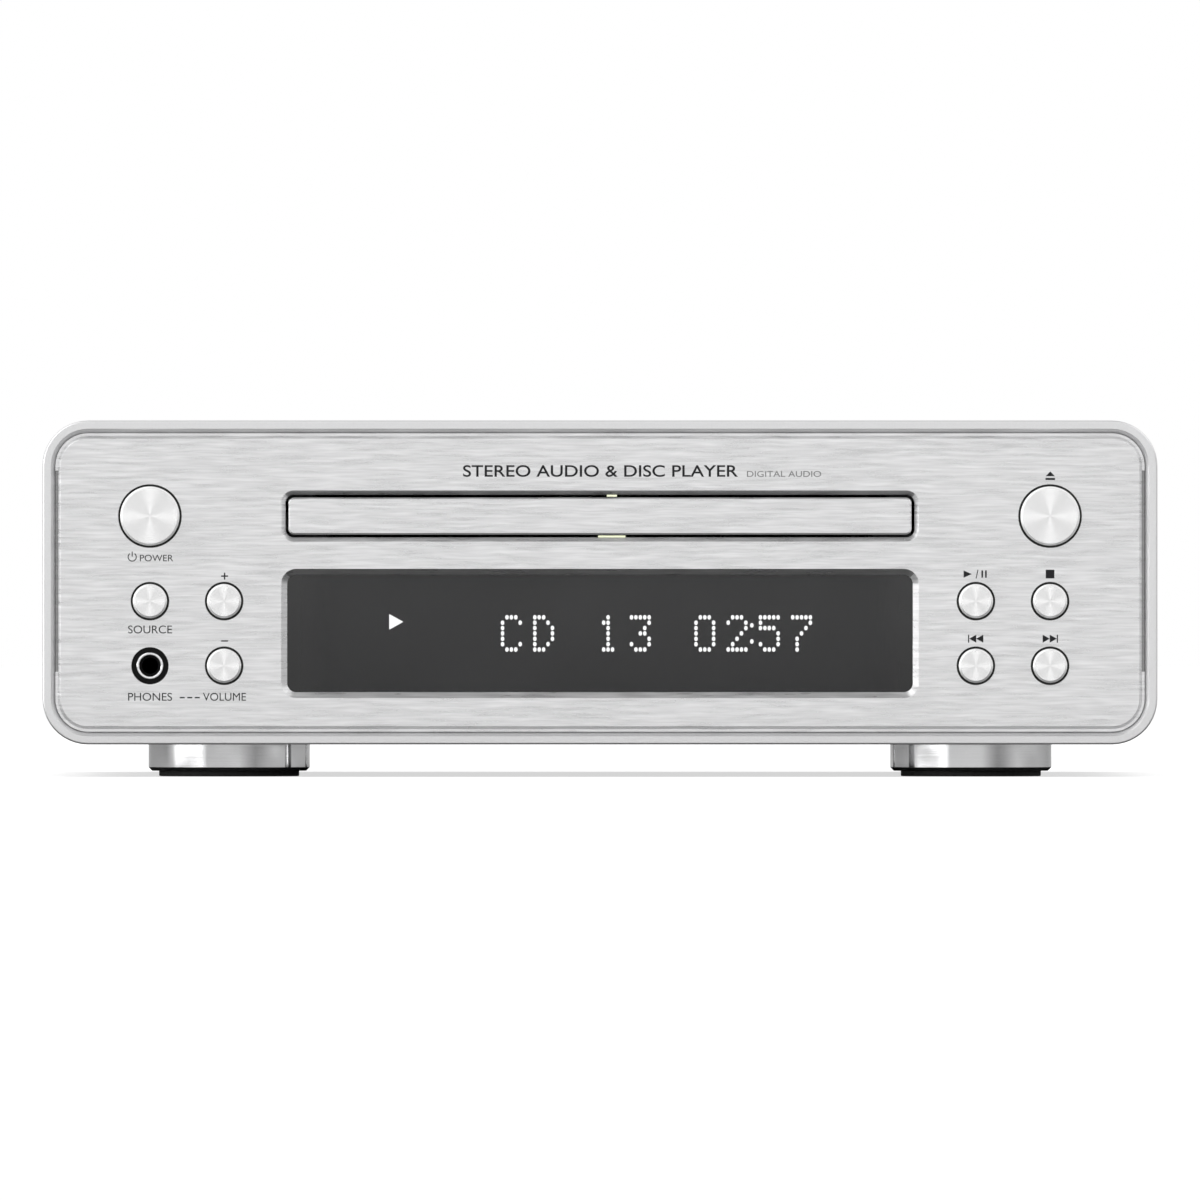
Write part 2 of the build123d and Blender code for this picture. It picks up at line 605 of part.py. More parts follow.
belt_outside = belt_outline(BELT_GAP + BELT_THICKNESS)
belt_inside = belt_outline(BELT_GAP)
with BuildPart() as drive_belt:
    extrude(belt_outside, amount=BELT_Z[1] - BELT_Z[0])
    extrude(belt_inside, amount=BELT_Z[1] - BELT_Z[0], mode=Mode.SUBTRACT)
save(drive_belt, "drive_belt")

with BuildPart() as loading_motor:
    rod_z(LOADING_MOTOR_AT, (37.6, WING_Z[0]), 12.1)
    fillet(loading_motor.edges().group_by(Axis.Z)[0], radius=1.0)
    rod_z(LOADING_MOTOR_AT, (35.8, 37.6), 3.0)
    rod_z(LOADING_MOTOR_AT, (WING_Z[0], WING_Z[0] + 0.4), 3.0)
save(loading_motor, "loading_motor")

# ---------------------------------------------------------------- disc clamp

PUCK_Z = (58.8, 62.0)
BRIDGE_Z = (WALL_TOP, WALL_TOP + 1.5)
with BuildPart() as clamp_bridge:
    span((-WALL_X[1], WALL_X[1]), (SPINDLE_Y - 14, SPINDLE_Y + 14), BRIDGE_Z)
    rod_z((0, SPINDLE_Y), BRIDGE_Z, 10.0, mode=Mode.SUBTRACT)
    for side in (-1, 1):
        rod_z((side * 40, SPINDLE_Y), BRIDGE_Z, 8.0, mode=Mode.SUBTRACT)
save(clamp_bridge, "clamp_bridge")

with BuildPart() as clamp_puck:
    rod_z((0, SPINDLE_Y), PUCK_Z, 13.0)
    rod_z((0, SPINDLE_Y), (PUCK_Z[1], BRIDGE_Z[1] + 0.5), 9.0)
    rod_z((0, SPINDLE_Y), (BRIDGE_Z[1] + 0.5, BRIDGE_Z[1] + 2.0), 13.0)
    rod_z((0, SPINDLE_Y), (PUCK_Z[0], PUCK_Z[0] + 1.8), 8.0, mode=Mode.SUBTRACT)
save(clamp_puck, "clamp_puck")

# ---------------------------------------------------------------- optical unit

FRAME_Z = (44.0, 47.0)
FRAME_HALF = 36.0
WELL_Y = (-56.0, 10.0)
BLOCK_TOP = ROD_Z + 2.5
FEED_MOTOR_Y = (-75.0, -59.3)
LIFT_PIN_RADIUS = 1.5

with BuildPart() as traverse_frame:
    span((-FRAME_HALF, FRAME_HALF), (-90, 26), FRAME_Z)
    span((-28, 28), WELL_Y, FRAME_Z, mode=Mode.SUBTRACT)
    span((20, 31), (FEED_MOTOR_Y[0] - 0.5, WELL_Y[0]), FRAME_Z, mode=Mode.SUBTRACT)
    rod_z((0, SPINDLE_Y), FRAME_Z, 4.0, mode=Mode.SUBTRACT)
    for x in ROD_X:
        for block_y in ((WELL_Y[0] - 4, WELL_Y[0]), (WELL_Y[1], WELL_Y[1] + 4)):
            if x > 0 and block_y[1] == WELL_Y[0]:
                span((16, 19.6), block_y, (FRAME_Z[1], BLOCK_TOP))
            else:
                span((x - 3, x + 3), block_y, (FRAME_Z[1], BLOCK_TOP))
        rod_y((x, ROD_Z), (WELL_Y[0] - 3, WELL_Y[1] + 3), 1.5, mode=Mode.SUBTRACT)
        lift_pin = (LIFT_PIN_X if x > 0 else -LIFT_PIN_X, PIVOT[1])
        rod_y(lift_pin, (LIFT_PIN_Y - 0.9, -90), LIFT_PIN_RADIUS)
    for side in (-1, 1):
        block_x = sorted((side * 33, side * FRAME_HALF))
        span(block_x, (PIVOT[0] - 4, PIVOT[0] + 4), (FRAME_Z[0], PIVOT[1] + 3))
        rod_x(PIVOT, sorted((side * FRAME_HALF, side * EAR_X[1])), 2.0)
save(traverse_frame, "traverse_frame")

with BuildPart() as guide_rods:
    for x in ROD_X:
        rod_y((x, ROD_Z), (WELL_Y[0] - 3, WELL_Y[1] + 3), 1.5)
save(guide_rods, "guide_rods")

with BuildPart() as spindle_motor:
    rod_z((0, SPINDLE_Y), (35, FRAME_Z[0]), 12.5)
    fillet(spindle_motor.edges().group_by(Axis.Z)[0], radius=1.0)
    rod_z((0, SPINDLE_Y), (FRAME_Z[0], FRAME_Z[0] + 1.0), 3.0)
save(spindle_motor, "spindle_motor")

SEAT_Z = 57.4
with BuildPart() as turntable:
    rod_z((0, SPINDLE_Y), (FRAME_Z[0] + 1.2, 55.4), 1.0)
    rod_z((0, SPINDLE_Y), (49.0, 55.4), 5.0)
    rod_z((0, SPINDLE_Y), (55.4, SEAT_Z), 15.0)
    rod_z((0, SPINDLE_Y), (SEAT_Z, SEAT_Z + 2.2), 7.3)
    chamfer(turntable.edges().group_by(Axis.Z)[-1], length=1.2)
save(turntable, "turntable")

PICKUP_Z = (46.5, 52.8)
with BuildPart() as pickup_head:
    span((-20, 16), (LENS_Y - 7.5, LENS_Y + 19), PICKUP_Z)
    span((-27.5, -20), (LENS_Y - 6, LENS_Y + 16), (PICKUP_Z[0], BLOCK_TOP))
    span((16, 23.8), (LENS_Y + 2, LENS_Y + 8), (PICKUP_Z[0], BLOCK_TOP))
    span((-8, 8), (LENS_Y - 7, LENS_Y + 7), (PICKUP_Z[1], 55.2))
    fillet(pickup_head.edges().group_by(Axis.Z)[-1], radius=0.6)
    for x in ROD_X:
        rod_y((x, ROD_Z), (LENS_Y - 10, LENS_Y + 20), 1.56, mode=Mode.SUBTRACT)
save(pickup_head, "pickup_head")

with BuildPart() as pickup_lens:
    rod_z((0, LENS_Y), (55.2, 56.0), 3.0)
    fillet(pickup_lens.edges().group_by(Axis.Z)[-1], radius=0.6)
save(pickup_lens, "pickup_lens")

with BuildPart() as feed_screw:
    rod_y((FEED_SCREW_X, ROD_Z), (FEED_MOTOR_Y[1] + 0.3, WELL_Y[1] - 1), 1.5)
save(feed_screw, "feed_screw")

with BuildPart() as feed_motor:
    rod_y((FEED_SCREW_X, ROD_Z), FEED_MOTOR_Y, 4.4)
    fillet(feed_motor.edges().group_by(Axis.Y)[0], radius=0.6)
save(feed_motor, "feed_motor")

# Sliding cam: its sloping slots carry the frame's front pins up and down
LIFT_DROP = (PIVOT[0] - LIFT_PIN_Y) * sin(LIFT_ANGLE)
CAM_Y = (-101.6, -99.4)
CAM_X = (-39.0, 25.0)
CAM_SLOPE = degrees(atan2(LIFT_DROP, CAM_TRAVEL))
with BuildPart() as cam_slider:
    span(CAM_X, CAM_Y, (33, 51))
    span(CAM_X, (-110, CAM_Y[0]), (43.2, 44.7))
    slot_length = hypot(CAM_TRAVEL, LIFT_DROP)
    with BuildSketch(facing(CAM_Y[1])):
        for x in (-LIFT_PIN_X, LIFT_PIN_X):
            with Locations((x - CAM_TRAVEL / 2, PIVOT[1] - LIFT_DROP / 2)):
                SlotCenterToCenter(slot_length, 2 * LIFT_PIN_RADIUS + 0.6, rotation=CAM_SLOPE)
    extrude(amount=CAM_Y[1] - CAM_Y[0], mode=Mode.SUBTRACT)
    with BuildSketch(Plane.XY.offset(43.2)):
        for x in CAM_POSTS:
            with Locations((x - CAM_TRAVEL / 2, CAM_FLANGE_Y)):
                SlotCenterToCenter(CAM_TRAVEL, 3.4)
    extrude(amount=1.5, mode=Mode.SUBTRACT)
save(cam_slider, "cam_slider")

# ---------------------------------------------------------------- back panel and sockets

LINE_JACKS_X = (44.0, 72.0, 92.0)
LINE_JACK_Z = 30.0
OPTICAL_X = 24.0
USB_X = 4.0
INLET_AT = (-84.0, 38.0)
INLET_SCREW_X = 20.0

with BuildPart() as back_panel:
    with BuildSketch(facing(BACK)):
        with Locations((0, MID)):
            RectangleRounded(CASE_WIDTH, CASE_HEIGHT, CASE_RADIUS)
            with GridLocations(2 * BOSS_X, 2 * BOSS_Z, 2, 2):
                Circle(SCREW_RADIUS + 0.2, mode=Mode.SUBTRACT)
        with Locations(*[(x, LINE_JACK_Z) for x in LINE_JACKS_X]):
            Circle(4.0, mode=Mode.SUBTRACT)
        with Locations((OPTICAL_X, LINE_JACK_Z)):
            Rectangle(10, 10, mode=Mode.SUBTRACT)
        with Locations((USB_X, LINE_JACK_Z)):
            Rectangle(12.2, 11.2, mode=Mode.SUBTRACT)
        with Locations(INLET_AT):
            Rectangle(27.4, 20.2, mode=Mode.SUBTRACT)
            with Locations((-INLET_SCREW_X, 0), (INLET_SCREW_X, 0)):
                Circle(TAPPED_RADIUS, mode=Mode.SUBTRACT)
    extrude(amount=BACK_THICKNESS)
    fillet(back_panel.faces().sort_by(Axis.Y)[-1].outer_wire().edges(), radius=0.5)
save(back_panel, "back_panel")

INLET_DEPTH = 15.0
INLET_FLOOR = 2.0
with BuildPart() as mains_inlet:
    with BuildSketch(facing(BACK + 2.0)):
        with Locations(INLET_AT):
            SlotOverall(50, 22)
            with Locations((-INLET_SCREW_X, 0), (INLET_SCREW_X, 0)):
                Circle(SCREW_RADIUS + 0.1, mode=Mode.SUBTRACT)
    extrude(amount=2.0)
    with BuildSketch(facing(BACK)):
        with Locations(INLET_AT):
            RectangleRounded(27, 19.8, 1.5)
    extrude(amount=INLET_DEPTH)
    with BuildSketch(facing(BACK + 2.0)):
        with Locations(INLET_AT):
            RectangleRounded(24, 16.4, 1.5)
    extrude(amount=INLET_DEPTH + 2.0 - INLET_FLOOR, mode=Mode.SUBTRACT)
save(mains_inlet, "mains_inlet")

INLET_PINS = ((0.0, 2.5), (-7.0, -1.5), (7.0, -1.5))
with BuildPart() as mains_pins:
    with BuildSketch(facing(BACK - 3.0)):
        with Locations(INLET_AT):
            with Locations(*INLET_PINS):
                Rectangle(2, 4)
    extrude(amount=INLET_DEPTH - 3.0 - INLET_FLOOR)
    with BuildSketch(facing(BACK - INLET_DEPTH)):
        with Locations(INLET_AT):
            with Locations(*INLET_PINS):
                Rectangle(1, 4)
    extrude(amount=5.0)
save(mains_pins, "mains_pins")

with BuildPart() as line_jacks:
    for x in LINE_JACKS_X:
        rod_y((x, LINE_JACK_Z), (BACK + 1.5, BACK + JACK_REACH), 4.15)
        rod_y((x, LINE_JACK_Z), (BACK + 1.5, BACK + JACK_REACH), 3.2, mode=Mode.SUBTRACT)
save(line_jacks, "line_jacks")

with BuildPart() as line_jack_insulators:
    for x in LINE_JACKS_X:
        rod_y((x, LINE_JACK_Z), (BACK, BACK + 1.5), 5.6)
        rod_y((x, LINE_JACK_Z), (SLEEVE_END, BACK + 7.5), 3.15)
        rod_y((x, LINE_JACK_Z), (BACK + 1.0, BACK + 7.5), 1.6, mode=Mode.SUBTRACT)
save(line_jack_insulators, "line_jack_insulators")


def socket_block(x, size, y, mode=Mode.ADD):
    """A block this wide and tall in the row of sockets, in the part being built."""
    with Locations((x, (y[0] + y[1]) / 2, LINE_JACK_Z)):
        Box(size[0], y[1] - y[0], size[1], mode=mode)


with BuildPart() as optical_socket:
    socket_block(OPTICAL_X, (9.8, 9.8), (SLEEVE_END - 10, BACK + 1.2))
    socket_block(OPTICAL_X, (6, 6), (BACK - 7, BACK + 1.2), mode=Mode.SUBTRACT)
save(optical_socket, "optical_socket")

with BuildPart() as usb_socket:
    socket_block(USB_X, (12, 11), (SLEEVE_END - 12, BACK + 1.0))
    socket_block(USB_X, (8.6, 8), (BACK - 10, BACK + 1.0), mode=Mode.SUBTRACT)
    socket_block(USB_X, (5.6, 3.2), (BACK - 10, BACK - 5))
save(usb_socket, "usb_socket")

# ---------------------------------------------------------------- power supply and main board

TRANSFORMER_Z = (16.5, 46.0)
with BuildPart() as power_transformer:
    rod_z(TRANSFORMER_AT, TRANSFORMER_Z, 32)
    fillet(power_transformer.edges().filter_by(GeomType.CIRCLE), radius=7)
    rod_z(TRANSFORMER_AT, (PLATE_TOP, TRANSFORMER_Z[0]), 17)
    rod_z(TRANSFORMER_AT, (PLATE_TOP, TRANSFORMER_Z[1]), 9, mode=Mode.SUBTRACT)
save(power_transformer, "power_transformer")

with BuildPart() as transformer_clamp:
    rod_z(TRANSFORMER_AT, (TRANSFORMER_Z[1], TRANSFORMER_Z[1] + 1.5), 23)
    rod_z(TRANSFORMER_AT, (TRANSFORMER_Z[1] + 1.5, TRANSFORMER_Z[1] + 4.5), 5)
    rod_z(TRANSFORMER_AT, (FLOOR + 0.2, TRANSFORMER_Z[1]), 3)
save(transformer_clamp, "transformer_clamp")


def build_board(name, outline):
    """A circuit board that stands on the chassis plate's pillars, drilled for its screws."""
    with BuildPart() as board:
        span(outline[0], outline[1], BOARD_Z)
        for place in BOARD_SCREWS:
            rod_z(place, BOARD_Z, SCREW_RADIUS + 0.1, mode=Mode.SUBTRACT)
    save(board, name)


build_board("power_board", POWER_BOARD)
build_board("main_board", MAIN_BOARD)

with BuildPart() as power_capacitors:
    with BuildSketch(Plane.XY.offset(BOARD_Z[1])):
        with Locations((-75, -3)):
            with GridLocations(17, 18, 3, 2):
                Circle(8)
    extrude(amount=20)
save(power_capacitors, "power_capacitors")

CHIP_PLACES = ((10.0, 84.0, 14.0), (36.0, 76.0, 9.0), (58.0, 76.0, 9.0))
with BuildPart() as main_board_parts:
    for x, y, size in CHIP_PLACES:
        span((x - size / 2, x + size / 2), (y - size / 2, y + size / 2), (BOARD_Z[1], BOARD_Z[1] + 2))
    with BuildSketch(Plane.XY.offset(BOARD_Z[1])):
        with Locations((86, 84)):
            with GridLocations(12, 14, 4, 3):
                Circle(4)
    extrude(amount=12)
    for x in LINE_JACKS_X:
        span((x - 5.5, x + 5.5), (SLEEVE_END - 13, SLEEVE_END), (BOARD_Z[1], LINE_JACK_Z + 6))
save(main_board_parts, "main_board_parts")

# ---------------------------------------------------------------- machine screws

HEAD_RADIUS = 2.7
HEAD_HEIGHT = 1.8
with BuildPart() as machine_screws:
    for x in (-BOSS_X, BOSS_X):
        for z in (MID - BOSS_Z, MID + BOSS_Z):
            rod_y((x, z), (BACK, BACK + HEAD_HEIGHT), HEAD_RADIUS)
            rod_y((x, z), (BACK - 12, BACK), SCREW_RADIUS)
    for x in (-INLET_SCREW_X, INLET_SCREW_X):
        at = (INLET_AT[0] + x, INLET_AT[1])
        rod_y(at, (BACK + 2.0, BACK + 2.0 + HEAD_HEIGHT), HEAD_RADIUS)
        rod_y(at, (BACK - 6, BACK + 2.0), SCREW_RADIUS)
    for place in SPACER_PLACES:
        rod_y(place, (FRONT_BOARD_Y[1], FRONT_BOARD_Y[1] + HEAD_HEIGHT), HEAD_RADIUS)
        rod_y(place, (FRONT_BOARD_Y[1] - 6, FRONT_BOARD_Y[1]), SCREW_RADIUS)
    for place in LOADER_POSTS:
        rod_z(place, (POST_TOP + 2, POST_TOP + 2 + HEAD_HEIGHT), HEAD_RADIUS)
        rod_z(place, (POST_TOP - 6, POST_TOP + 2), SCREW_RADIUS)
    for place in BOARD_SCREWS:
        rod_z(place, (BOARD_Z[1], BOARD_Z[1] + HEAD_HEIGHT), HEAD_RADIUS)
        rod_z(place, (BOARD_Z[0] - 4, BOARD_Z[1]), SCREW_RADIUS)
save(machine_screws, "machine_screws")
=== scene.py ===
"""The look of a compact disc player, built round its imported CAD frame. Metres, in the frame's own axes."""

import math

import bpy
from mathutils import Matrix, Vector


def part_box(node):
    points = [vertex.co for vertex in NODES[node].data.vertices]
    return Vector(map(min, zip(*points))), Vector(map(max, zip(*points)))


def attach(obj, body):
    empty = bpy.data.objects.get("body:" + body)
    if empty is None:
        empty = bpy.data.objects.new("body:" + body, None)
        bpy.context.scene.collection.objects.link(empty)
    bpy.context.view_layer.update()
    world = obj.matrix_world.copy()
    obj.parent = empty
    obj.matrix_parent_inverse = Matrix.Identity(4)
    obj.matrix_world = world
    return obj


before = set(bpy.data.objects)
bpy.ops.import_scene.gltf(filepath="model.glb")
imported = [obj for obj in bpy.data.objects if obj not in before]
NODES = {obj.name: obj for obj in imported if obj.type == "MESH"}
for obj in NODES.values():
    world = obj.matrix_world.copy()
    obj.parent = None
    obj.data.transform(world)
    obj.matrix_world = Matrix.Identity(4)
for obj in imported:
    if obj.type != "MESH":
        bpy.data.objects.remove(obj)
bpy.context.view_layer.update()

MM = 0.001
BODY = "player"

# ---------------------------------------------------------------- places, from the frame


def mm(*values):
    """Lengths given in millimetres."""
    return [value * MM for value in values]


def centre(node):
    """The middle of a CAD node's box."""
    low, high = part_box(node)
    return (low + high) / 2


def beside(node, across, up):
    """Millimetres across and up from a control's centre, as a place (x, z) in the frame."""
    middle = centre(node)
    return middle.x + across * MM, middle.z + up * MM


FACE_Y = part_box("front_panel")[0].y
BACK_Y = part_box("back_panel")[1].y
PANEL = centre("front_panel")
PANEL_HALF_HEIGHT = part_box("front_panel")[1].z - PANEL.z
GROOVE_BAND = 2 * MM
WINDOW = centre("display_window")
FASCIA = centre("drawer_fascia")
OPENINGS_HALF_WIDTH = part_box("display_window")[1].x + 3 * MM
BEVEL_DEPTH = 1.35 * MM
CAP_DEPTH = 2.6 * MM
MODULE_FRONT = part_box("display_module")[0].y
MODULE_HALF_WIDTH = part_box("display_module")[1].x - 0.1 * MM
CASE_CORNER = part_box("case_sleeve")[1]

# ---------------------------------------------------------------- node helpers


def put(tree, kind, inputs=None, **settings):
    """Adds a node, and gives its inputs values or links them to other nodes' outputs."""
    node = tree.nodes.new(kind)
    for key, value in settings.items():
        setattr(node, key, value)
    for key, value in (inputs or {}).items():
        if isinstance(value, bpy.types.NodeSocket):
            tree.links.new(value, node.inputs[key])
        else:
            node.inputs[key].default_value = value
    return node


def calc(tree, operation, *values):
    """A Math node's result."""
    return put(tree, "ShaderNodeMath", dict(enumerate(values)), operation=operation).outputs[0]


def spread(tree, factor, low, high, start=0.0, end=1.0):
    """Maps a factor between start and end to a value between low and high."""
    inputs = {"Value": factor, "From Min": start, "From Max": end, "To Min": low, "To Max": high}
    return put(tree, "ShaderNodeMapRange", inputs).outputs["Result"]


def ramp(tree, factor, stops, interpolation="LINEAR"):
    """A colour ramp's result. Each stop is (position, colour) or (position, grey)."""
    node = put(tree, "ShaderNodeValToRGB", {"Fac": factor})
    band = node.color_ramp
    band.interpolation = interpolation
    while len(band.elements) < len(stops):
        band.elements.new(0.5)
    for element, (position, colour) in zip(band.elements, stops):
        element.position = position
        element.color = (*((colour,) * 3 if isinstance(colour, (int, float)) else colour), 1)
    return node.outputs["Color"]


def mixed(tree, factor, first, second):
    """Two colours mixed, from the first at 0 to the second at 1."""
    inputs = {"Fac": factor, "Color1": first, "Color2": second}
    return put(tree, "ShaderNodeMixRGB", inputs).outputs["Color"]


def place(tree, stretch=(1, 1, 1), output="Object"):
    """Coordinates on the piece, stretched along each axis."""
    coords = put(tree, "ShaderNodeTexCoord").outputs[output]
    return put(tree, "ShaderNodeMapping", {"Vector": coords, "Scale": stretch}).outputs["Vector"]


# Noise keeps mostly between these two values
NOISE_LOW, NOISE_HIGH = 0.3, 0.7


def noise(tree, stretch, detail=3.0, roughness=0.55):
    """Noise with this many features to the metre along each axis."""
    inputs = {"Vector": place(tree, stretch), "Scale": 1.0, "Detail": detail, "Roughness": roughness}
    return put(tree, "ShaderNodeTexNoise", inputs).outputs["Fac"]


def tinted(tree, texture, dark, light):
    """A colour or grey that follows noise from dark to light."""
    return ramp(tree, texture, [(NOISE_LOW, dark), (NOISE_HIGH, light)])


def varied(tree, texture, low, high):
    """A number that follows noise from low to high."""
    return spread(tree, texture, low, high, NOISE_LOW, NOISE_HIGH)


def bump(tree, height, distance, strength=1.0):
    """A normal that follows a height, distance metres from low to high."""
    inputs = {"Height": height, "Distance": distance, "Strength": strength}
    return put(tree, "ShaderNodeBump", inputs).outputs["Normal"]


def around(colour, share):
    """A colour made darker and lighter by a share, for the two ends of a ramp."""
    return [tuple(min(1.0, c * (1 + side * share)) for c in colour) for side in (-1, 1)]


def surface(name, **sockets):
    """A new material. Returns it with its node tree and its shader."""
    material = bpy.data.materials.new(name)
    material.use_nodes = True
    tree = material.node_tree
    shader = tree.nodes["Principled BSDF"]
    for key, value in sockets.items():
        shader.inputs[key.replace("_", " ").title().replace("Ior", "IOR")].default_value = value
    return material, tree, shader


def wire(tree, shader, **links):
    """Links results to the shader's sockets."""
    for key, value in links.items():
        tree.links.new(value, shader.inputs[key.replace("_", " ").title()])


def product(tree, *factors):
    """The product of several factors."""
    result = factors[0]
    for other in factors[1:]:
        result = calc(tree, "MULTIPLY", result, other)
    return result


def darker(tree, colour, shade):
    """A colour scaled by a factor."""
    return put(tree, "ShaderNodeVectorMath", {0: colour, 3: shade}, operation="SCALE").outputs["Vector"]


def normal_along(tree, axis):
    """How far a face points along an axis, from -1 to 1."""
    normal = put(tree, "ShaderNodeTexCoord").outputs["Normal"]
    return put(tree, "ShaderNodeSeparateXYZ", {"Vector": normal}).outputs[axis]


def faces_45(tree):
    """1 on a chamfer that faces half forwards, and 0 on a face square to the front or the side."""
    tolerance = 0.16
    off_45 = calc(tree, "ABSOLUTE", calc(tree, "ADD", normal_along(tree, "Y"), math.sqrt(0.5)))
    return calc(tree, "LESS_THAN", off_45, tolerance)


def position(tree):
    """A point's x, y and z on the piece."""
    parts = put(tree, "ShaderNodeSeparateXYZ", {"Vector": place(tree)})
    return [parts.outputs[axis] for axis in "XYZ"]


def fades(tree, mask, shade):
    """A factor that is 1 where the mask is 0, and shade where the mask is 1."""
    return spread(tree, mask, 1.0, shade)


# ---------------------------------------------------------------- materials


def brushed(name, colour, gap_shade, contrast=0.20, roughness=0.30):
    """Aluminium brushed from side to side in short wavy streaks.

    The upper and lower bevels of the openings are darker, and so is what lies deeper than the bevels: all
    painted shade, strongest on the upper bevels.
    """
    wave_height, top_bevel_shade, low_bevel_shade = 0.22 * MM, 0.45, 0.88
    material, tree, shader = surface(name, metallic=1.0)
    coords = place(tree)
    sway = put(tree, "ShaderNodeTexNoise", {"Vector": coords, "Scale": 120.0, "Detail": 2.0}).outputs["Fac"]
    rise = spread(tree, sway, -wave_height, wave_height, 0.2, 0.8)
    lift = put(tree, "ShaderNodeCombineXYZ", {"Z": rise}).outputs["Vector"]
    waved = put(tree, "ShaderNodeVectorMath", {0: coords, 1: lift}, operation="ADD").outputs["Vector"]

    def streaks(along, across, detail):
        """Streaks with this many to the metre along the brushing and across it."""
        scaled = put(tree, "ShaderNodeMapping", {"Vector": waved, "Scale": (along, along, across)})
        inputs = {"Vector": scaled.outputs["Vector"], "Scale": 1.0, "Detail": detail, "Roughness": 0.5}
        return put(tree, "ShaderNodeTexNoise", inputs).outputs["Fac"]

    ripple, hair = streaks(130, 1700, 0.8), streaks(90, 4200, 1.0)
    dark, light = around(colour, contrast)
    relief = calc(tree, "ADD", calc(tree, "MULTIPLY", ripple, 0.75), calc(tree, "MULTIPLY", hair, 0.25))
    tone = ramp(tree, relief, [(0.25, dark), (0.75, light)])

    x, y, z = position(tree)
    # Painted shade: what lies deeper than the bevels, and the upper and lower bevels of the openings, the
    # upper ones darkest.
    inside = calc(tree, "GREATER_THAN", calc(tree, "SUBTRACT", y, FACE_Y), BEVEL_DEPTH)
    off_middle = calc(tree, "ABSOLUTE", calc(tree, "SUBTRACT", z, PANEL.z))
    beyond = calc(tree, "GREATER_THAN", calc(tree, "ABSOLUTE", x), OPENINGS_HALF_WIDTH)
    at_rim = calc(tree, "GREATER_THAN", off_middle, PANEL_HALF_HEIGHT - GROOVE_BAND)
    bevel = product(tree, faces_45(tree), calc(tree, "SUBTRACT", 1.0, calc(tree, "MAXIMUM", beyond, at_rim)))
    upward = normal_along(tree, "Z")
    top = product(tree, bevel, calc(tree, "LESS_THAN", upward, -0.5))
    low = product(tree, bevel, calc(tree, "GREATER_THAN", upward, 0.5))
    masks = ((inside, gap_shade), (top, top_bevel_shade), (low, low_bevel_shade))
    shade = product(tree, *(fades(tree, mask, share) for mask, share in masks))
    wire(
        tree,
        shader,
        base_color=darker(tree, tone, shade),
        roughness=varied(tree, ripple, roughness - 0.05, roughness + 0.07),
        normal=bump(tree, relief, 6e-6, 0.5),
    )
    return material


def blasted(name, colour, chamfer, roughness=0.36):
    """Fine bead-blasted and anodised aluminium, with painted shade on its chamfers, this much darker."""
    material, tree, shader = surface(name, metallic=1.0)
    grain = noise(tree, (3200, 3200, 3200), 2.0)
    cloud = noise(tree, (22, 22, 22), 3.0)
    dark, light = around(colour, 0.025)
    tone = tinted(tree, grain, dark, light)
    # The chamfers' darker colour is painted shade.
    wire(
        tree,
        shader,
        base_color=darker(tree, tone, fades(tree, faces_45(tree), chamfer)),
        roughness=varied(tree, cloud, roughness - 0.008, roughness + 0.008),
        normal=bump(tree, grain, 5e-6, 0.5),
    )
    return material


def spun(name, colour, roughness=0.22):
    """A faced aluminium cap: circular tool marks, a painted highlight in a bright cross over its face, and a
    black body behind, which paints shade into the gap round the cap.
    """
    arm_count, wobble_count, ring_rate = 4.0, 7.0, 260.0
    gap_body_shade, chamfer_roughness = 0.02, 0.35
    material, tree, shader = surface(name, metallic=1.0)
    middle = put(
        tree,
        "ShaderNodeVectorMath",
        {0: place(tree, output="Generated"), 1: (0.5, 0.5, 0.5)},
        operation="SUBTRACT",
    ).outputs["Vector"]
    parts = put(tree, "ShaderNodeSeparateXYZ", {"Vector": middle})
    x, z = parts.outputs["X"], parts.outputs["Z"]
    angle = calc(tree, "ARCTAN2", z, x)
    radius = calc(tree, "SQRT", calc(tree, "ADD", calc(tree, "MULTIPLY", x, x), calc(tree, "MULTIPLY", z, z)))

    def wave(count, offset, size):
        """A wave with this many crests round the cap."""
        turned_by = calc(tree, "MULTIPLY_ADD", angle, count, offset)
        return calc(tree, "MULTIPLY", calc(tree, "COSINE", turned_by), size)

    # The cross and its wobble are a painted highlight in the base colour.
    cross = calc(tree, "POWER", calc(tree, "ADD", wave(arm_count, 0.0, 0.5), 0.5), 2.0)
    wobble = wave(wobble_count, 2.0, 0.04)
    painted_cross_highlight = calc(tree, "ADD", calc(tree, "MULTIPLY_ADD", cross, 0.75, 0.15), wobble)
    rings = calc(tree, "SINE", calc(tree, "MULTIPLY", radius, ring_rate))
    dark, light = around(colour, 0.09)
    tone = ramp(tree, painted_cross_highlight, [(0.0, dark), (1.0, light)])
    # The body behind the face is painted black: painted shade in the gap round the cap.
    behind = calc(tree, "GREATER_THAN", position(tree)[1], FACE_Y + CAP_DEPTH)
    gloss = spread(tree, painted_cross_highlight, roughness + 0.06, roughness - 0.04)
    wire(
        tree,
        shader,
        base_color=darker(tree, tone, fades(tree, behind, gap_body_shade)),
        roughness=calc(tree, "MULTIPLY_ADD", faces_45(tree), chamfer_roughness, gloss),
        normal=bump(tree, rings, 2e-6, 0.35),
        metallic=fades(tree, behind, 0.0),
    )
    return material


def turned(name, colour, roughness=0.14):
    """Polished metal turned about an upright axis, with faint tool marks round it."""
    material, tree, shader = surface(name, metallic=1.0)
    marks = noise(tree, (1, 1, 5200), 1.0)
    cloud = noise(tree, (60, 60, 60), 2.0)
    dark, light = around(colour, 0.03)
    wire(
        tree,
        shader,
        base_color=tinted(tree, marks, dark, light),
        roughness=varied(tree, cloud, roughness - 0.03, roughness + 0.06),
        normal=bump(tree, marks, 1.5e-6, 0.3),
    )
    return material


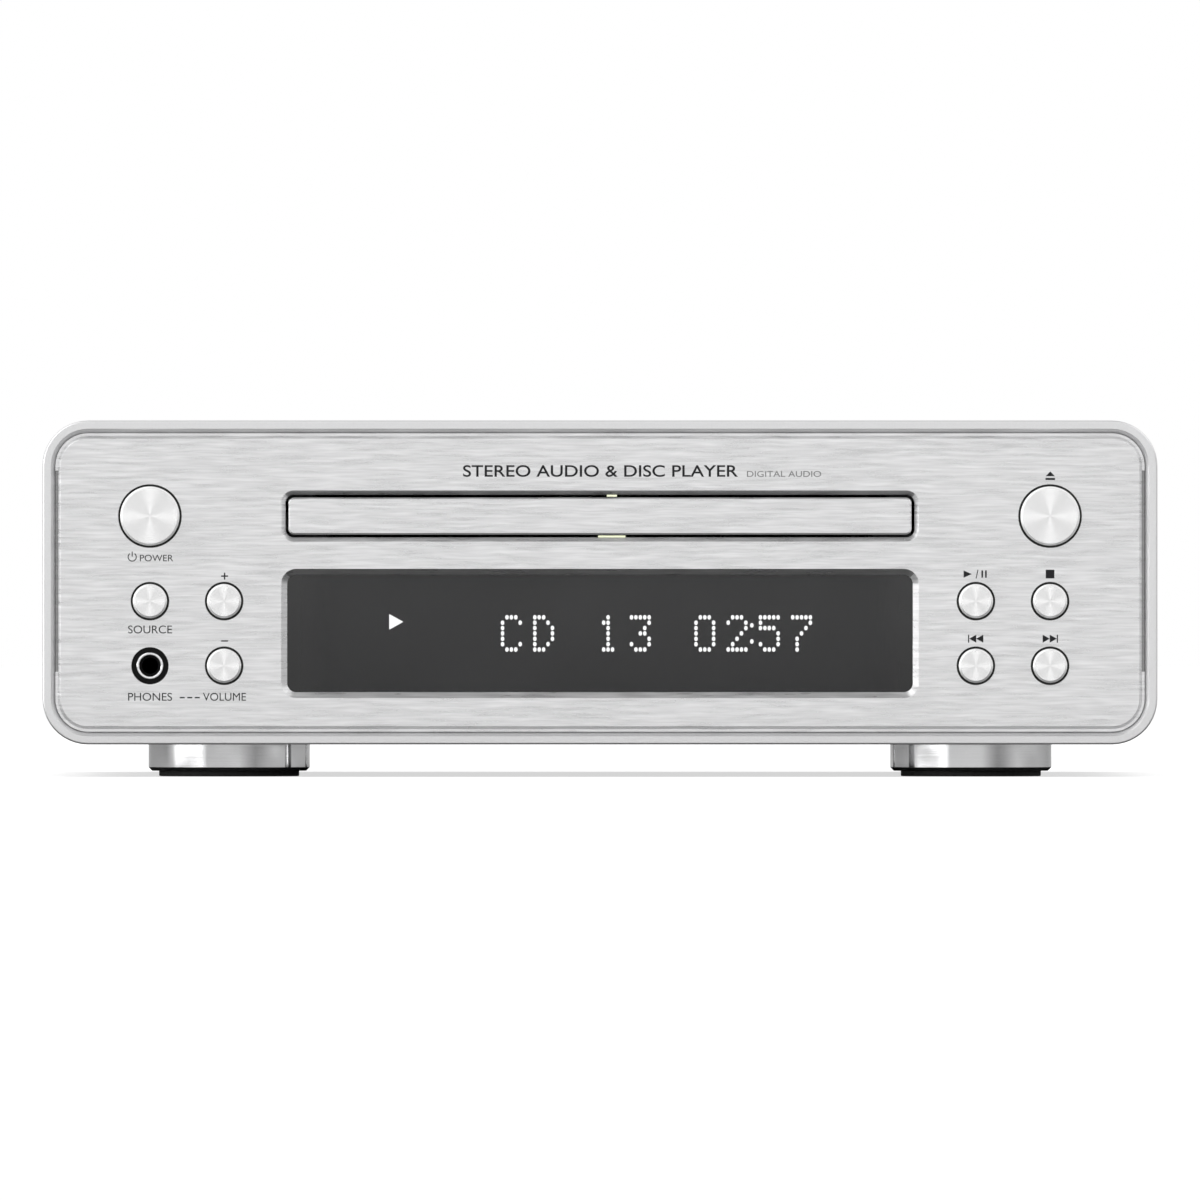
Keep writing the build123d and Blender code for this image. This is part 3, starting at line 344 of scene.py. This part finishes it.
def metal(name, colour, roughness=0.3, stretch=(400, 400, 400)):
    """Plain metal with rolling marks or tarnish."""
    material, tree, shader = surface(name, metallic=1.0)
    marks = noise(tree, stretch, 4.0)
    dark, light = around(colour, 0.08)
    wire(
        tree,
        shader,
        base_color=tinted(tree, marks, dark, light),
        roughness=varied(tree, marks, roughness - 0.06, roughness + 0.1),
        normal=bump(tree, marks, 6e-6, 0.4),
    )
    return material


def moulded(name, colour, roughness=0.45, grain=1800, depth=1.2e-5, **sockets):
    """Moulded plastic or rubber: a fine texture, and a slight change of shade over the piece."""
    material, tree, shader = surface(name, **sockets)
    texture = noise(tree, (grain,) * 3, 2.0)
    cloud = noise(tree, (35, 35, 35), 3.0)
    dark, light = around(colour, 0.12)
    wire(
        tree,
        shader,
        base_color=tinted(tree, cloud, dark, light),
        roughness=varied(tree, texture, roughness - 0.06, roughness + 0.08),
        normal=bump(tree, texture, depth, 0.5),
    )
    return material


def board(name):
    """A circuit board: green solder mask over lighter copper tracks and round pads."""
    material, tree, shader = surface(name, coat_weight=0.2)
    cells = put(
        tree,
        "ShaderNodeTexBrick",
        {
            "Vector": place(tree),
            "Scale": 90.0,
            "Mortar Size": 0.05,
            "Color1": (0.012, 0.10, 0.035, 1),
            "Color2": (0.016, 0.12, 0.045, 1),
            "Mortar": (0.05, 0.26, 0.10, 1),
        },
    ).outputs["Color"]
    pads = put(tree, "ShaderNodeTexVoronoi", {"Vector": place(tree), "Scale": 260.0}).outputs["Distance"]
    pad_radius, pad_edge = 0.10, 0.13
    mask = ramp(tree, pads, [(pad_radius, 1.0), (pad_edge, 0.0)])
    wire(
        tree,
        shader,
        base_color=mixed(tree, mask, cells, (0.75, 0.72, 0.62, 1)),
        roughness=spread(tree, mask, 0.38, 0.25),
        normal=bump(tree, cells, 3e-5, 0.3),
    )
    return material


def winding(name):
    """A toroid's outer tape: overlapping turns that cross its side."""
    material, tree, shader = surface(name)
    middle = centre("power_transformer")
    turns_per_radian = 9.0
    x, y, _ = position(tree)
    angle = calc(tree, "ARCTAN2", calc(tree, "SUBTRACT", y, middle.y), calc(tree, "SUBTRACT", x, middle.x))
    turns = calc(tree, "FRACT", calc(tree, "MULTIPLY", angle, turns_per_radian))
    overlap, edge, face = (0.30, 0.16, 0.03), (0.62, 0.38, 0.08), (0.50, 0.29, 0.05)
    wire(
        tree,
        shader,
        base_color=ramp(tree, turns, [(0.0, overlap), (0.12, edge), (1.0, face)]),
        roughness=spread(tree, turns, 0.5, 0.3),
        normal=bump(tree, turns, 1e-4, 0.6),
    )
    return material


def by_position(name, axis, stops, low, high, roughness=0.35):
    """Moulded pieces of several colours in one node, told apart by their place along an axis."""
    material, tree, shader = surface(name)
    along = spread(tree, position(tree)["XYZ".index(axis)], 0.0, 1.0, low, high)
    texture = noise(tree, (1500,) * 3, 2.0)
    wire(
        tree,
        shader,
        base_color=ramp(tree, along, stops, "CONSTANT"),
        roughness=varied(tree, texture, roughness - 0.05, roughness + 0.08),
        normal=bump(tree, texture, 1e-5, 0.4),
    )
    return material


def smoked(name):
    """Smoked acrylic: nearly black, glossy, clear over the lit display and printed black round it."""
    material, tree, shader = surface(name, roughness=0.05)
    haze = noise(tree, (30, 30, 30), 3.0)
    off_middle = calc(tree, "ABSOLUTE", calc(tree, "SUBTRACT", position(tree)[0], WINDOW.x))
    border_fade, border_shade, clear_alpha = 6 * MM, 0.40, 0.55
    border = spread(tree, off_middle, 0.0, 1.0, MODULE_HALF_WIDTH - border_fade, MODULE_HALF_WIDTH)
    dark, light = (0.033, 0.033, 0.034), (0.037, 0.037, 0.038)
    wire(
        tree,
        shader,
        base_color=darker(tree, tinted(tree, haze, dark, light), fades(tree, border, border_shade)),
        roughness=varied(tree, haze, 0.03, 0.08),
        alpha=spread(tree, border, clear_alpha, 1.0),
    )
    return material


def glowing(name, colour, strength):
    """A lit mark, a little uneven."""
    material, tree, shader = surface(name, emission_strength=strength)
    uneven = noise(tree, (900,) * 3, 1.0)
    dark, light = around(colour, 0.04)
    tone = tinted(tree, uneven, dark, light)
    wire(tree, shader, base_color=tone, emission_color=tone)
    return material


PANEL_FINISH = brushed("brushed_panel", (0.79, 0.79, 0.795), gap_shade=0.4)
# On the fascia what lies deeper than its bevel is nearly black: a black moulding behind a thin plate, and
# painted shade in the drawer's gap.
FASCIA_FINISH = brushed("brushed_fascia", (0.79, 0.79, 0.795), gap_shade=0.04)
SATIN = blasted("satin_sleeve", (0.82, 0.82, 0.825), chamfer=0.85)
CAP = spun("spun_cap", (0.91, 0.91, 0.91))
FOOT = turned("polished_foot", (0.64, 0.64, 0.645), 0.06)
RUBBER = moulded("black_rubber", (0.018, 0.018, 0.018), 0.75, 1400, 3e-5)
SMOKED = smoked("smoked_acrylic")
DISPLAY = moulded("display_glass", (0.070, 0.070, 0.072), 0.35, 900)
LAMP = glowing("cream_lamp", (0.84, 0.88, 0.62), 0.45)
LIT = glowing("lit_dots", (0.96, 0.97, 0.97), 5.0)
INK = moulded("grey_ink", (0.022, 0.022, 0.024), 0.85, 4000, 3e-6, specular_ior_level=0.15)
PALE_INK = moulded("pale_ink", (0.17, 0.17, 0.172), 0.6, 4000, 3e-6)
WHITE_INK = moulded("white_ink", (0.75, 0.75, 0.74), 0.55, 4000, 3e-6)
BLACK_GLOSS = moulded("black_moulding", (0.006, 0.006, 0.006), 0.45, 1500, 6e-6, specular_ior_level=0.08)
BLACK_MATT = moulded("dark_moulding", (0.022, 0.022, 0.024), 0.5, 1800)
GREY_MATT = moulded("loader_moulding", (0.055, 0.056, 0.06), 0.48, 1600)
ACETAL = moulded("acetal", (0.74, 0.73, 0.68), 0.34, 1200, 6e-6)
SILVER = metal("bright_plate", (0.84, 0.84, 0.85), 0.14, (500, 500, 500))
STEEL = metal("zinc_steel", (0.60, 0.61, 0.63), 0.32, (60, 900, 900))
GROUND = metal("ground_steel", (0.72, 0.72, 0.73), 0.2, (1200, 90, 1200))
BLACK_SCREW = metal("blackened_steel", (0.10, 0.10, 0.105), 0.35)
GOLD = metal("gold_plate", (0.86, 0.66, 0.30), 0.18)
POWDER = moulded("powder_coat", (0.018, 0.018, 0.019), 0.55, 2600, 3e-5)
GREEN_BOARD = board("circuit_board")
TAPE = winding("toroid_tape")
SLEEVE_BLUE = moulded("capacitor_sleeve", (0.015, 0.03, 0.11), 0.3, 600)
LENS = moulded("coated_lens", (0.20, 0.28, 0.55), 0.05, 300, 1e-6, transmission_weight=0.4)

jack_low, jack_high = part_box("line_jack_insulators")
JACKS = by_position(
    "jack_rings",
    "X",
    [(0.0, (0.62, 0.20, 0.02)), (0.25, (0.50, 0.012, 0.012)), (0.70, (0.72, 0.72, 0.70))],
    jack_low.x,
    jack_high.x,
)

FINISHES = {
    PANEL_FINISH: ["front_panel"],
    FASCIA_FINISH: ["drawer_fascia"],
    CAP: sorted(name for name in NODES if name.startswith("button_")),
    SATIN: ["case_sleeve"],
    FOOT: ["foot_front_left", "foot_front_right", "foot_back_left", "foot_back_right"],
    RUBBER: ["foot_pads", "drive_belt"],
    SMOKED: ["display_window"],
    DISPLAY: ["display_module"],
    LAMP: ["drawer_lamps"],
    BLACK_GLOSS: ["headphone_jack", "mains_inlet", "optical_socket"],
    BLACK_MATT: [
        "tact_switches", "main_board_parts", "motor_pulley", "turntable", "pickup_head", "disc_tray",
    ],
    GREY_MATT: ["loader_frame", "traverse_frame"],
    ACETAL: ["drive_gear", "pulley_gear", "clamp_puck", "cam_slider"],
    SILVER: ["headphone_ring", "mains_pins"],
    STEEL: ["chassis_plate", "clamp_bridge", "transformer_clamp", "usb_socket"],
    GROUND: [
        "board_spacers", "foot_bolts", "guide_rods", "spindle_motor", "feed_motor", "feed_screw",
        "loading_motor",
    ],
    BLACK_SCREW: ["machine_screws"],
    GOLD: ["line_jacks"],
    JACKS: ["line_jack_insulators"],
    POWDER: ["back_panel"],
    GREEN_BOARD: ["front_board", "main_board", "power_board"],
    TAPE: ["power_transformer"],
    SLEEVE_BLUE: ["power_capacitors"],
    LENS: ["pickup_lens"],
}


def dress(nodes, material):
    """Gives CAD nodes this one material, in their own material slots."""
    for node in nodes:
        for slot in NODES[node].material_slots:
            slot.material = material


for finish, names in FINISHES.items():
    dress(names, finish)

# ---------------------------------------------------------------- flat marks: legends, symbols and lit dots

INK_LIFT = 0.02 * MM
INK_SINK = 0.02 * MM


def turns_left(outline):
    """Whether an outline's points (x, z) go round to the left."""
    return sum(a[0] * b[1] - b[0] * a[1] for a, b in zip(outline, outline[1:] + outline[:1])) > 0


def plate(name, outlines, y, side, material, body=BODY):
    """Thin plates on an upright face at y: each outline is points (x, z), and side is -1 at the front."""
    front, back = y + side * INK_LIFT, y - side * INK_SINK
    points, faces = [], []
    for outline in outlines:
        if turns_left(outline) != (side < 0):
            outline = outline[::-1]
        first, count = len(points), len(outline)
        points += [(x, front, z) for x, z in outline] + [(x, back, z) for x, z in outline]
        faces.append([first + i for i in range(count)])
        faces.append([first + count + i for i in reversed(range(count))])
        for i in range(count):
            j = (i + 1) % count
            faces.append([first + j, first + i, first + count + i, first + count + j])
    mesh = bpy.data.meshes.new(name)
    mesh.from_pydata(points, [], faces)
    mesh.materials.append(material)
    piece = bpy.data.objects.new(name, mesh)
    bpy.context.scene.collection.objects.link(piece)
    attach(piece, body)


def bar(x, z, width, height, lean=0.0):
    """A rectangle about (x, z), leaning to the right by lean at its top."""
    w, h = width / 2, height / 2
    return [(x - w - lean, z - h), (x + w - lean, z - h), (x + w + lean, z + h), (x - w + lean, z + h)]


def arrow(x, z, width, height):
    """A triangle about (x, z) that points right, or left if width is negative."""
    return [(x - width / 2, z - height / 2), (x + width / 2, z), (x - width / 2, z + height / 2)]


def dot(x, z, width, height, count=12):
    """One dot of the display."""
    turns = [2 * math.pi * i / count for i in range(count)]
    return [(x + width / 2 * math.cos(a), z + height / 2 * math.sin(a)) for a in turns]


def arc(x, z, radius, thickness, start, end, count=20):
    """A curved bar about (x, z), from one angle to another in degrees."""
    angles = [math.radians(start + (end - start) * i / count) for i in range(count + 1)]

    def edge(distance):
        return [(x + distance * math.cos(a), z + distance * math.sin(a)) for a in angles]

    return edge(radius + thickness / 2) + edge(radius - thickness / 2)[::-1]


def legend(
    name, words, left, right, low, high, y=FACE_Y, facing=-1, material=INK, bold=0.0
):
    """Words printed on an upright face, fitted between two places across it and two heights.

    facing is -1 at the front, where words run along +x, and 1 at the back, where they run along -x.
    """
    curve = bpy.data.curves.new(name, "FONT")
    curve.body = words
    curve.size = 1.0
    curve.offset = bold
    curve.materials.append(material)
    piece = bpy.data.objects.new(name, curve)
    bpy.context.scene.collection.objects.link(piece)
    bpy.context.view_layer.update()
    corners = [Vector(c) for c in piece.bound_box]
    x0, x1 = min(c.x for c in corners), max(c.x for c in corners)
    y0, y1 = min(c.y for c in corners), max(c.y for c in corners)
    across, up = abs(right - left) / (x1 - x0), (high - low) / (y1 - y0)
    curve.extrude = INK_LIFT / across
    turn = 0 if facing < 0 else math.pi
    piece.rotation_euler = (math.pi / 2, 0, turn)
    piece.scale = (across, up, across)
    piece.location = (left + facing * x0 * across, y, low - y0 * up)
    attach(piece, BODY)


# Words by the controls
for name, words, node, across, up in (
    ("legend_power", "POWER", "button_power", (-2.2, 5.1), (-9.95, -8.5)),
    ("legend_source", "SOURCE", "button_source", (-4.8, 4.85), (-7.1, -5.35)),
    ("legend_phones", "PHONES", "headphone_jack", (-4.8, 4.85), (-7.7, -5.95)),
    ("legend_volume", "VOLUME", "button_volume_down", (-4.65, 4.8), (-7.7, -5.95)),
):
    middle_x = centre(node).x
    middle_z = (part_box(node)[0].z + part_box(node)[1].z) / 2
    left, right = (middle_x + offset * MM for offset in across)
    low, high = (middle_z + offset * MM for offset in up)
    legend(name, words, left, right, low, high)

# The line over the drawer
left, low = beside("drawer_fascia", -30.1, 8.6)
right, high = beside("drawer_fascia", 30.3, 11.2)
legend("legend_title", "STEREO AUDIO & DISC PLAYER", left, right, low, high, bold=0.010)
left, low = beside("drawer_fascia", 32.3, 8.6)
right, high = beside("drawer_fascia", 48.6, 9.9)
legend("legend_subtitle", "DIGITAL AUDIO", left, right, low, high, material=PALE_INK)

# Symbols by the buttons


def symbol(name, outlines):
    """A symbol printed on the front panel."""
    plate(name, outlines, FACE_Y, -1, INK)


x, z = beside("button_power", -3.9, -9.0)
ring = arc(x, z, 0.9 * MM, 0.22 * MM, -235, 55)
symbol("symbol_power", [ring, bar(x, z + 0.65 * MM, *mm(0.22, 1.1))])

x, z = beside("button_volume_up", 0.1, 5.5)
stem = [bar(x, z + side * 0.45 * MM, *mm(0.3, 0.6)) for side in (1, -1)]
symbol("symbol_plus", [bar(x, z, *mm(1.5, 0.3)), *stem])
x, z = beside("button_volume_down", 0.1, 5.45)
symbol("symbol_minus", [bar(x, z, *mm(1.5, 0.3))])

x, z = beside("headphone_jack", 8.75, -7.0)
dashes = [bar(x + step * 1.65 * MM, z, *mm(1.1, 0.3)) for step in (-1, 0, 1)]
symbol("symbol_dashes", dashes)

x, z = beside("button_eject", 0.05, 9.2)
eject = [(x - 1.0 * MM, z - 0.45 * MM), (x + 1.0 * MM, z - 0.45 * MM), (x, z + 0.6 * MM)]
symbol("symbol_eject", [eject, bar(x, z - 1.05 * MM, *mm(2.1, 0.45))])

x, z = beside("button_play_pause", 0.0, 5.95)
play = [
    arrow(x - 1.8 * MM, z, *mm(1.8, 1.6)),
    bar(x + 0.25 * MM, z, *mm(0.2, 1.9), 0.2 * MM),
    bar(x + 1.4 * MM, z, *mm(0.36, 1.6)),
    bar(x + 2.2 * MM, z, *mm(0.36, 1.6)),
]
symbol("symbol_play_pause", play)

x, z = beside("button_stop", 0.0, 5.95)
symbol("symbol_stop", [bar(x, z, *mm(1.9, 1.9))])

for name, node, side in (("symbol_previous", "button_previous", -1), ("symbol_next", "button_next", 1)):
    x, z = beside(node, 0.0, 5.95)
    skip = [arrow(x + side * place_x * MM, z, side * 1.55 * MM, 1.75 * MM) for place_x in (-0.85, 0.7)]
    symbol(name, [*skip, bar(x + side * 1.6 * MM, z, *mm(0.25, 1.75))])

# Dots of the display, in cells five dots wide and seven high
GLYPHS = {
    "C": (".###.", "#...#", "#....", "#....", "#....", "#...#", ".###."),
    "D": ("###..", "#..#.", "#...#", "#...#", "#...#", "#..#.", "###.."),
    "0": (".###.", "#...#", "#...#", "#...#", "#...#", "#...#", ".###."),
    "1": ("..#..", ".##..", "..#..", "..#..", "..#..", "..#..", ".###."),
    "2": (".###.", "#...#", "....#", "...#.", "..#..", ".#...", "#####"),
    "3": ("#####", "....#", "...#.", "..##.", "....#", "#...#", ".###."),
    "5": ("#####", "#....", "####.", "....#", "....#", "#...#", ".###."),
    "7": ("#####", "....#", "...#.", "..#..", ".#...", ".#...", ".#..."),
}
READING = "CD 13 0257"
CELL_PITCH, DOT_X, DOT_Z = mm(7.09, 0.97, 1.18)
DOT_SIZE = mm(0.80, 1.02)
READING_LEFT = WINDOW.x - 21.43 * MM
READING_TOP = WINDOW.z + 3 * DOT_Z

dots = []
for cell, letter in enumerate(READING):
    for row, line in enumerate(GLYPHS.get(letter, ())):
        for column, mark in enumerate(line):
            if mark == "#":
                x = READING_LEFT + cell * CELL_PITCH + column * DOT_X
                dots.append(dot(x, READING_TOP - row * DOT_Z, *DOT_SIZE))
colon = READING_LEFT + 7 * CELL_PITCH + 5.35 * DOT_X  # between the minutes and the seconds
dots += [dot(colon, READING_TOP - row * DOT_Z, *DOT_SIZE) for row in (1.5, 4.5)]
plate("display_reading", dots, MODULE_FRONT, -1, LIT)
playing = arrow(WINDOW.x - 44.8 * MM, WINDOW.z + 2.55 * MM, *mm(3.1, 3.4))
plate("display_playing", [playing], MODULE_FRONT, -1, LIT)

# Words on the back panel
BACK_TYPE = 1.7 * MM


def back_legend(name, words, x, z, half_width):
    """Words on the back panel about x, standing on z."""
    left, right = x + half_width * MM, x - half_width * MM
    legend(name, words, left, right, z, z + BACK_TYPE, BACK_Y, 1, WHITE_INK)


for name, words, node, half, up in (
    ("legend_mains", "AC IN", "mains_inlet", 5.0, 16.0),
    ("legend_usb", "DIGITAL IN", "usb_socket", 6.5, 9.5),
    ("legend_optical", "OPTICAL OUT", "optical_socket", 7.0, 9.5),
):
    back_legend(name, words, *beside(node, 0, up), half)
x, z = centre("line_jacks").x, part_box("line_jacks")[1].z + 5.4 * MM
for name, words, across, up, half in (
    ("legend_coaxial", "COAXIAL OUT", -24.0, 0.0, 7.0),
    ("legend_right", "R", 4.0, 0.0, 0.8),
    ("legend_left", "L", 24.0, 0.0, 0.8),
    ("legend_line", "LINE OUT", 14.0, 4.0, 6.0),
):
    back_legend(name, words, x + across * MM, z + up * MM, half)

# ---------------------------------------------------------------- floor, light and camera

# The camera sees a white floor. The metal sees a grey one, with painted shade close to the player.
FLOOR_HALF = 14.0
FLOOR_DROP = 0.05 * MM
FLOOR_TONE = 0.50
FLOOR_MOTTLE = 0.01
NEAR_SHADE_TONE = 0.10
NEAR_START, NEAR_END = mm(5, 60)
FLOOR_LIFT = 0.66

floor_mesh = bpy.data.meshes.new("floor")
signs = ((-1, -1), (1, -1), (1, 1), (-1, 1))
corners = [(sign_x * FLOOR_HALF, sign_y * FLOOR_HALF, 0) for sign_x, sign_y in signs]
floor_mesh.from_pydata(corners, [], [(0, 1, 2, 3)])
floor = bpy.data.objects.new("floor", floor_mesh)
bpy.context.scene.collection.objects.link(floor)
floor.location.z = -FLOOR_DROP
floor_material, tree, shader = surface(
    "pale_floor", roughness=0.95, specular_ior_level=0.05, emission_color=(1, 1, 1, 1)
)
x, y, _ = position(tree)
past_side = calc(tree, "SUBTRACT", calc(tree, "ABSOLUTE", x), CASE_CORNER.x)
past_end = calc(tree, "SUBTRACT", calc(tree, "ABSOLUTE", y), CASE_CORNER.y)
clear = calc(tree, "MAXIMUM", past_side, past_end)
seen = put(tree, "ShaderNodeLightPath").outputs["Is Camera Ray"]
share = calc(tree, "MAXIMUM", seen, spread(tree, clear, 0.0, 1.0, NEAR_START, NEAR_END))
mottle = noise(tree, (8, 8, 8), 3.0)
tone = tinted(tree, mottle, FLOOR_TONE - FLOOR_MOTTLE, FLOOR_TONE + FLOOR_MOTTLE)
wire(
    tree,
    shader,
    # Painted shade on the floor near the player, seen only by rays that aren't the camera's.
    base_color=darker(tree, tone, spread(tree, share, NEAR_SHADE_TONE / FLOOR_TONE, 1.0)),
    emission_strength=calc(tree, "MULTIPLY", seen, FLOOR_LIFT),
)
floor_mesh.materials.append(floor_material)

BRIGHTEST = 3.4
CEILING = 0.46
ZENITH = 0.38
STUDIO = 1.71
# Heights where one fades into the next, as the sine of the elevation
WALLS_TO_CEILING = (0.05, 0.30)
CEILING_TO_ZENITH = (0.40, 0.95)
# (degrees to the right of the front, brightness up to BRIGHTEST)
WALLS = [
    (-180, 0.15), (-140, 0.02), (-100, 0.05), (-88, 0.80), (-80, 3.20), (-39, 3.40), (-31, 0.80), (-20, 0.78),
    (15, 0.80), (28, 0.30), (38, 0.02), (48, 0.15), (70, 0.75), (105, 0.60), (140, 0.10), (180, 0.15),
]


def studio():
    """A pale studio: a bright strip at the left of the front, a dark card at its right and a dim ceiling.

    The camera sees it as plain white.
    """
    world = bpy.data.worlds.new("studio")
    bpy.context.scene.world = world
    world.use_nodes = True
    tree = world.node_tree
    direction = put(tree, "ShaderNodeTexCoord").outputs["Generated"]
    parts = put(tree, "ShaderNodeSeparateXYZ", {"Vector": direction})
    x, y, z = (parts.outputs[axis] for axis in "XYZ")
    turn = calc(tree, "ARCTAN2", x, calc(tree, "MULTIPLY", y, -1.0))
    share = spread(tree, turn, 0.0, 1.0, -math.pi, math.pi)
    band = ramp(tree, share, [((angle + 180) / 360, light / BRIGHTEST) for angle, light in WALLS])
    walls_end, ceiling_start = WALLS_TO_CEILING
    height = ramp(tree, z, [(walls_end, 0.0), (ceiling_start, 1.0)])
    ceiling_end, zenith_start = CEILING_TO_ZENITH
    ceiling = ramp(tree, z, [(ceiling_end, CEILING / BRIGHTEST), (zenith_start, ZENITH / BRIGHTEST)])
    light = mixed(tree, height, band, ceiling)
    seen = put(tree, "ShaderNodeLightPath").outputs["Is Camera Ray"]
    background = tree.nodes["Background"]
    tree.links.new(mixed(tree, seen, light, (1, 1, 1, 1)), background.inputs["Color"])
    tree.links.new(spread(tree, seen, BRIGHTEST * STUDIO, 1.0), background.inputs["Strength"])


studio()


def softbox(name, location, size, power, glossy=True):
    """A square area light aimed at the player, which polished pieces may or may not reflect."""
    light = bpy.data.lights.new(name, "AREA")
    light.shape = "SQUARE"
    light.size = size
    light.energy = power
    lamp = bpy.data.objects.new(name, light)
    bpy.context.scene.collection.objects.link(lamp)
    lamp.location = location
    aim = Vector((0, 0, CASE_CORNER.z / 2)) - Vector(location)
    lamp.rotation_euler = aim.to_track_quat("-Z", "Y").to_euler()
    lamp.visible_glossy = glossy


softbox("key_light", (-1.6, -1.2, 2.0), size=2.2, power=23.5)
softbox("fill_light", (1.7, -0.9, 1.8), size=2.2, power=12)
softbox("back_light", (0.3, 1.9, 1.8), size=1.6, power=16, glossy=False)

VIEW_WIDTH = 263.7 * MM
VIEW_HEIGHT = 38.85 * MM
FOCAL_LENGTH = 1200.0
SENSOR_WIDTH = 36.0
camera_data = bpy.data.cameras.new("camera")
camera_data.lens = FOCAL_LENGTH
camera_data.sensor_width = SENSOR_WIDTH
camera_data.clip_start = 0.1
camera_data.clip_end = 60.0
camera = bpy.data.objects.new("camera", camera_data)
bpy.context.scene.collection.objects.link(camera)
camera.location = (0.0, FACE_Y - FOCAL_LENGTH / SENSOR_WIDTH * VIEW_WIDTH, VIEW_HEIGHT)
camera.rotation_euler = (math.pi / 2, 0, 0)
bpy.context.scene.camera = camera
bpy.context.scene.view_settings.view_transform = "Standard"
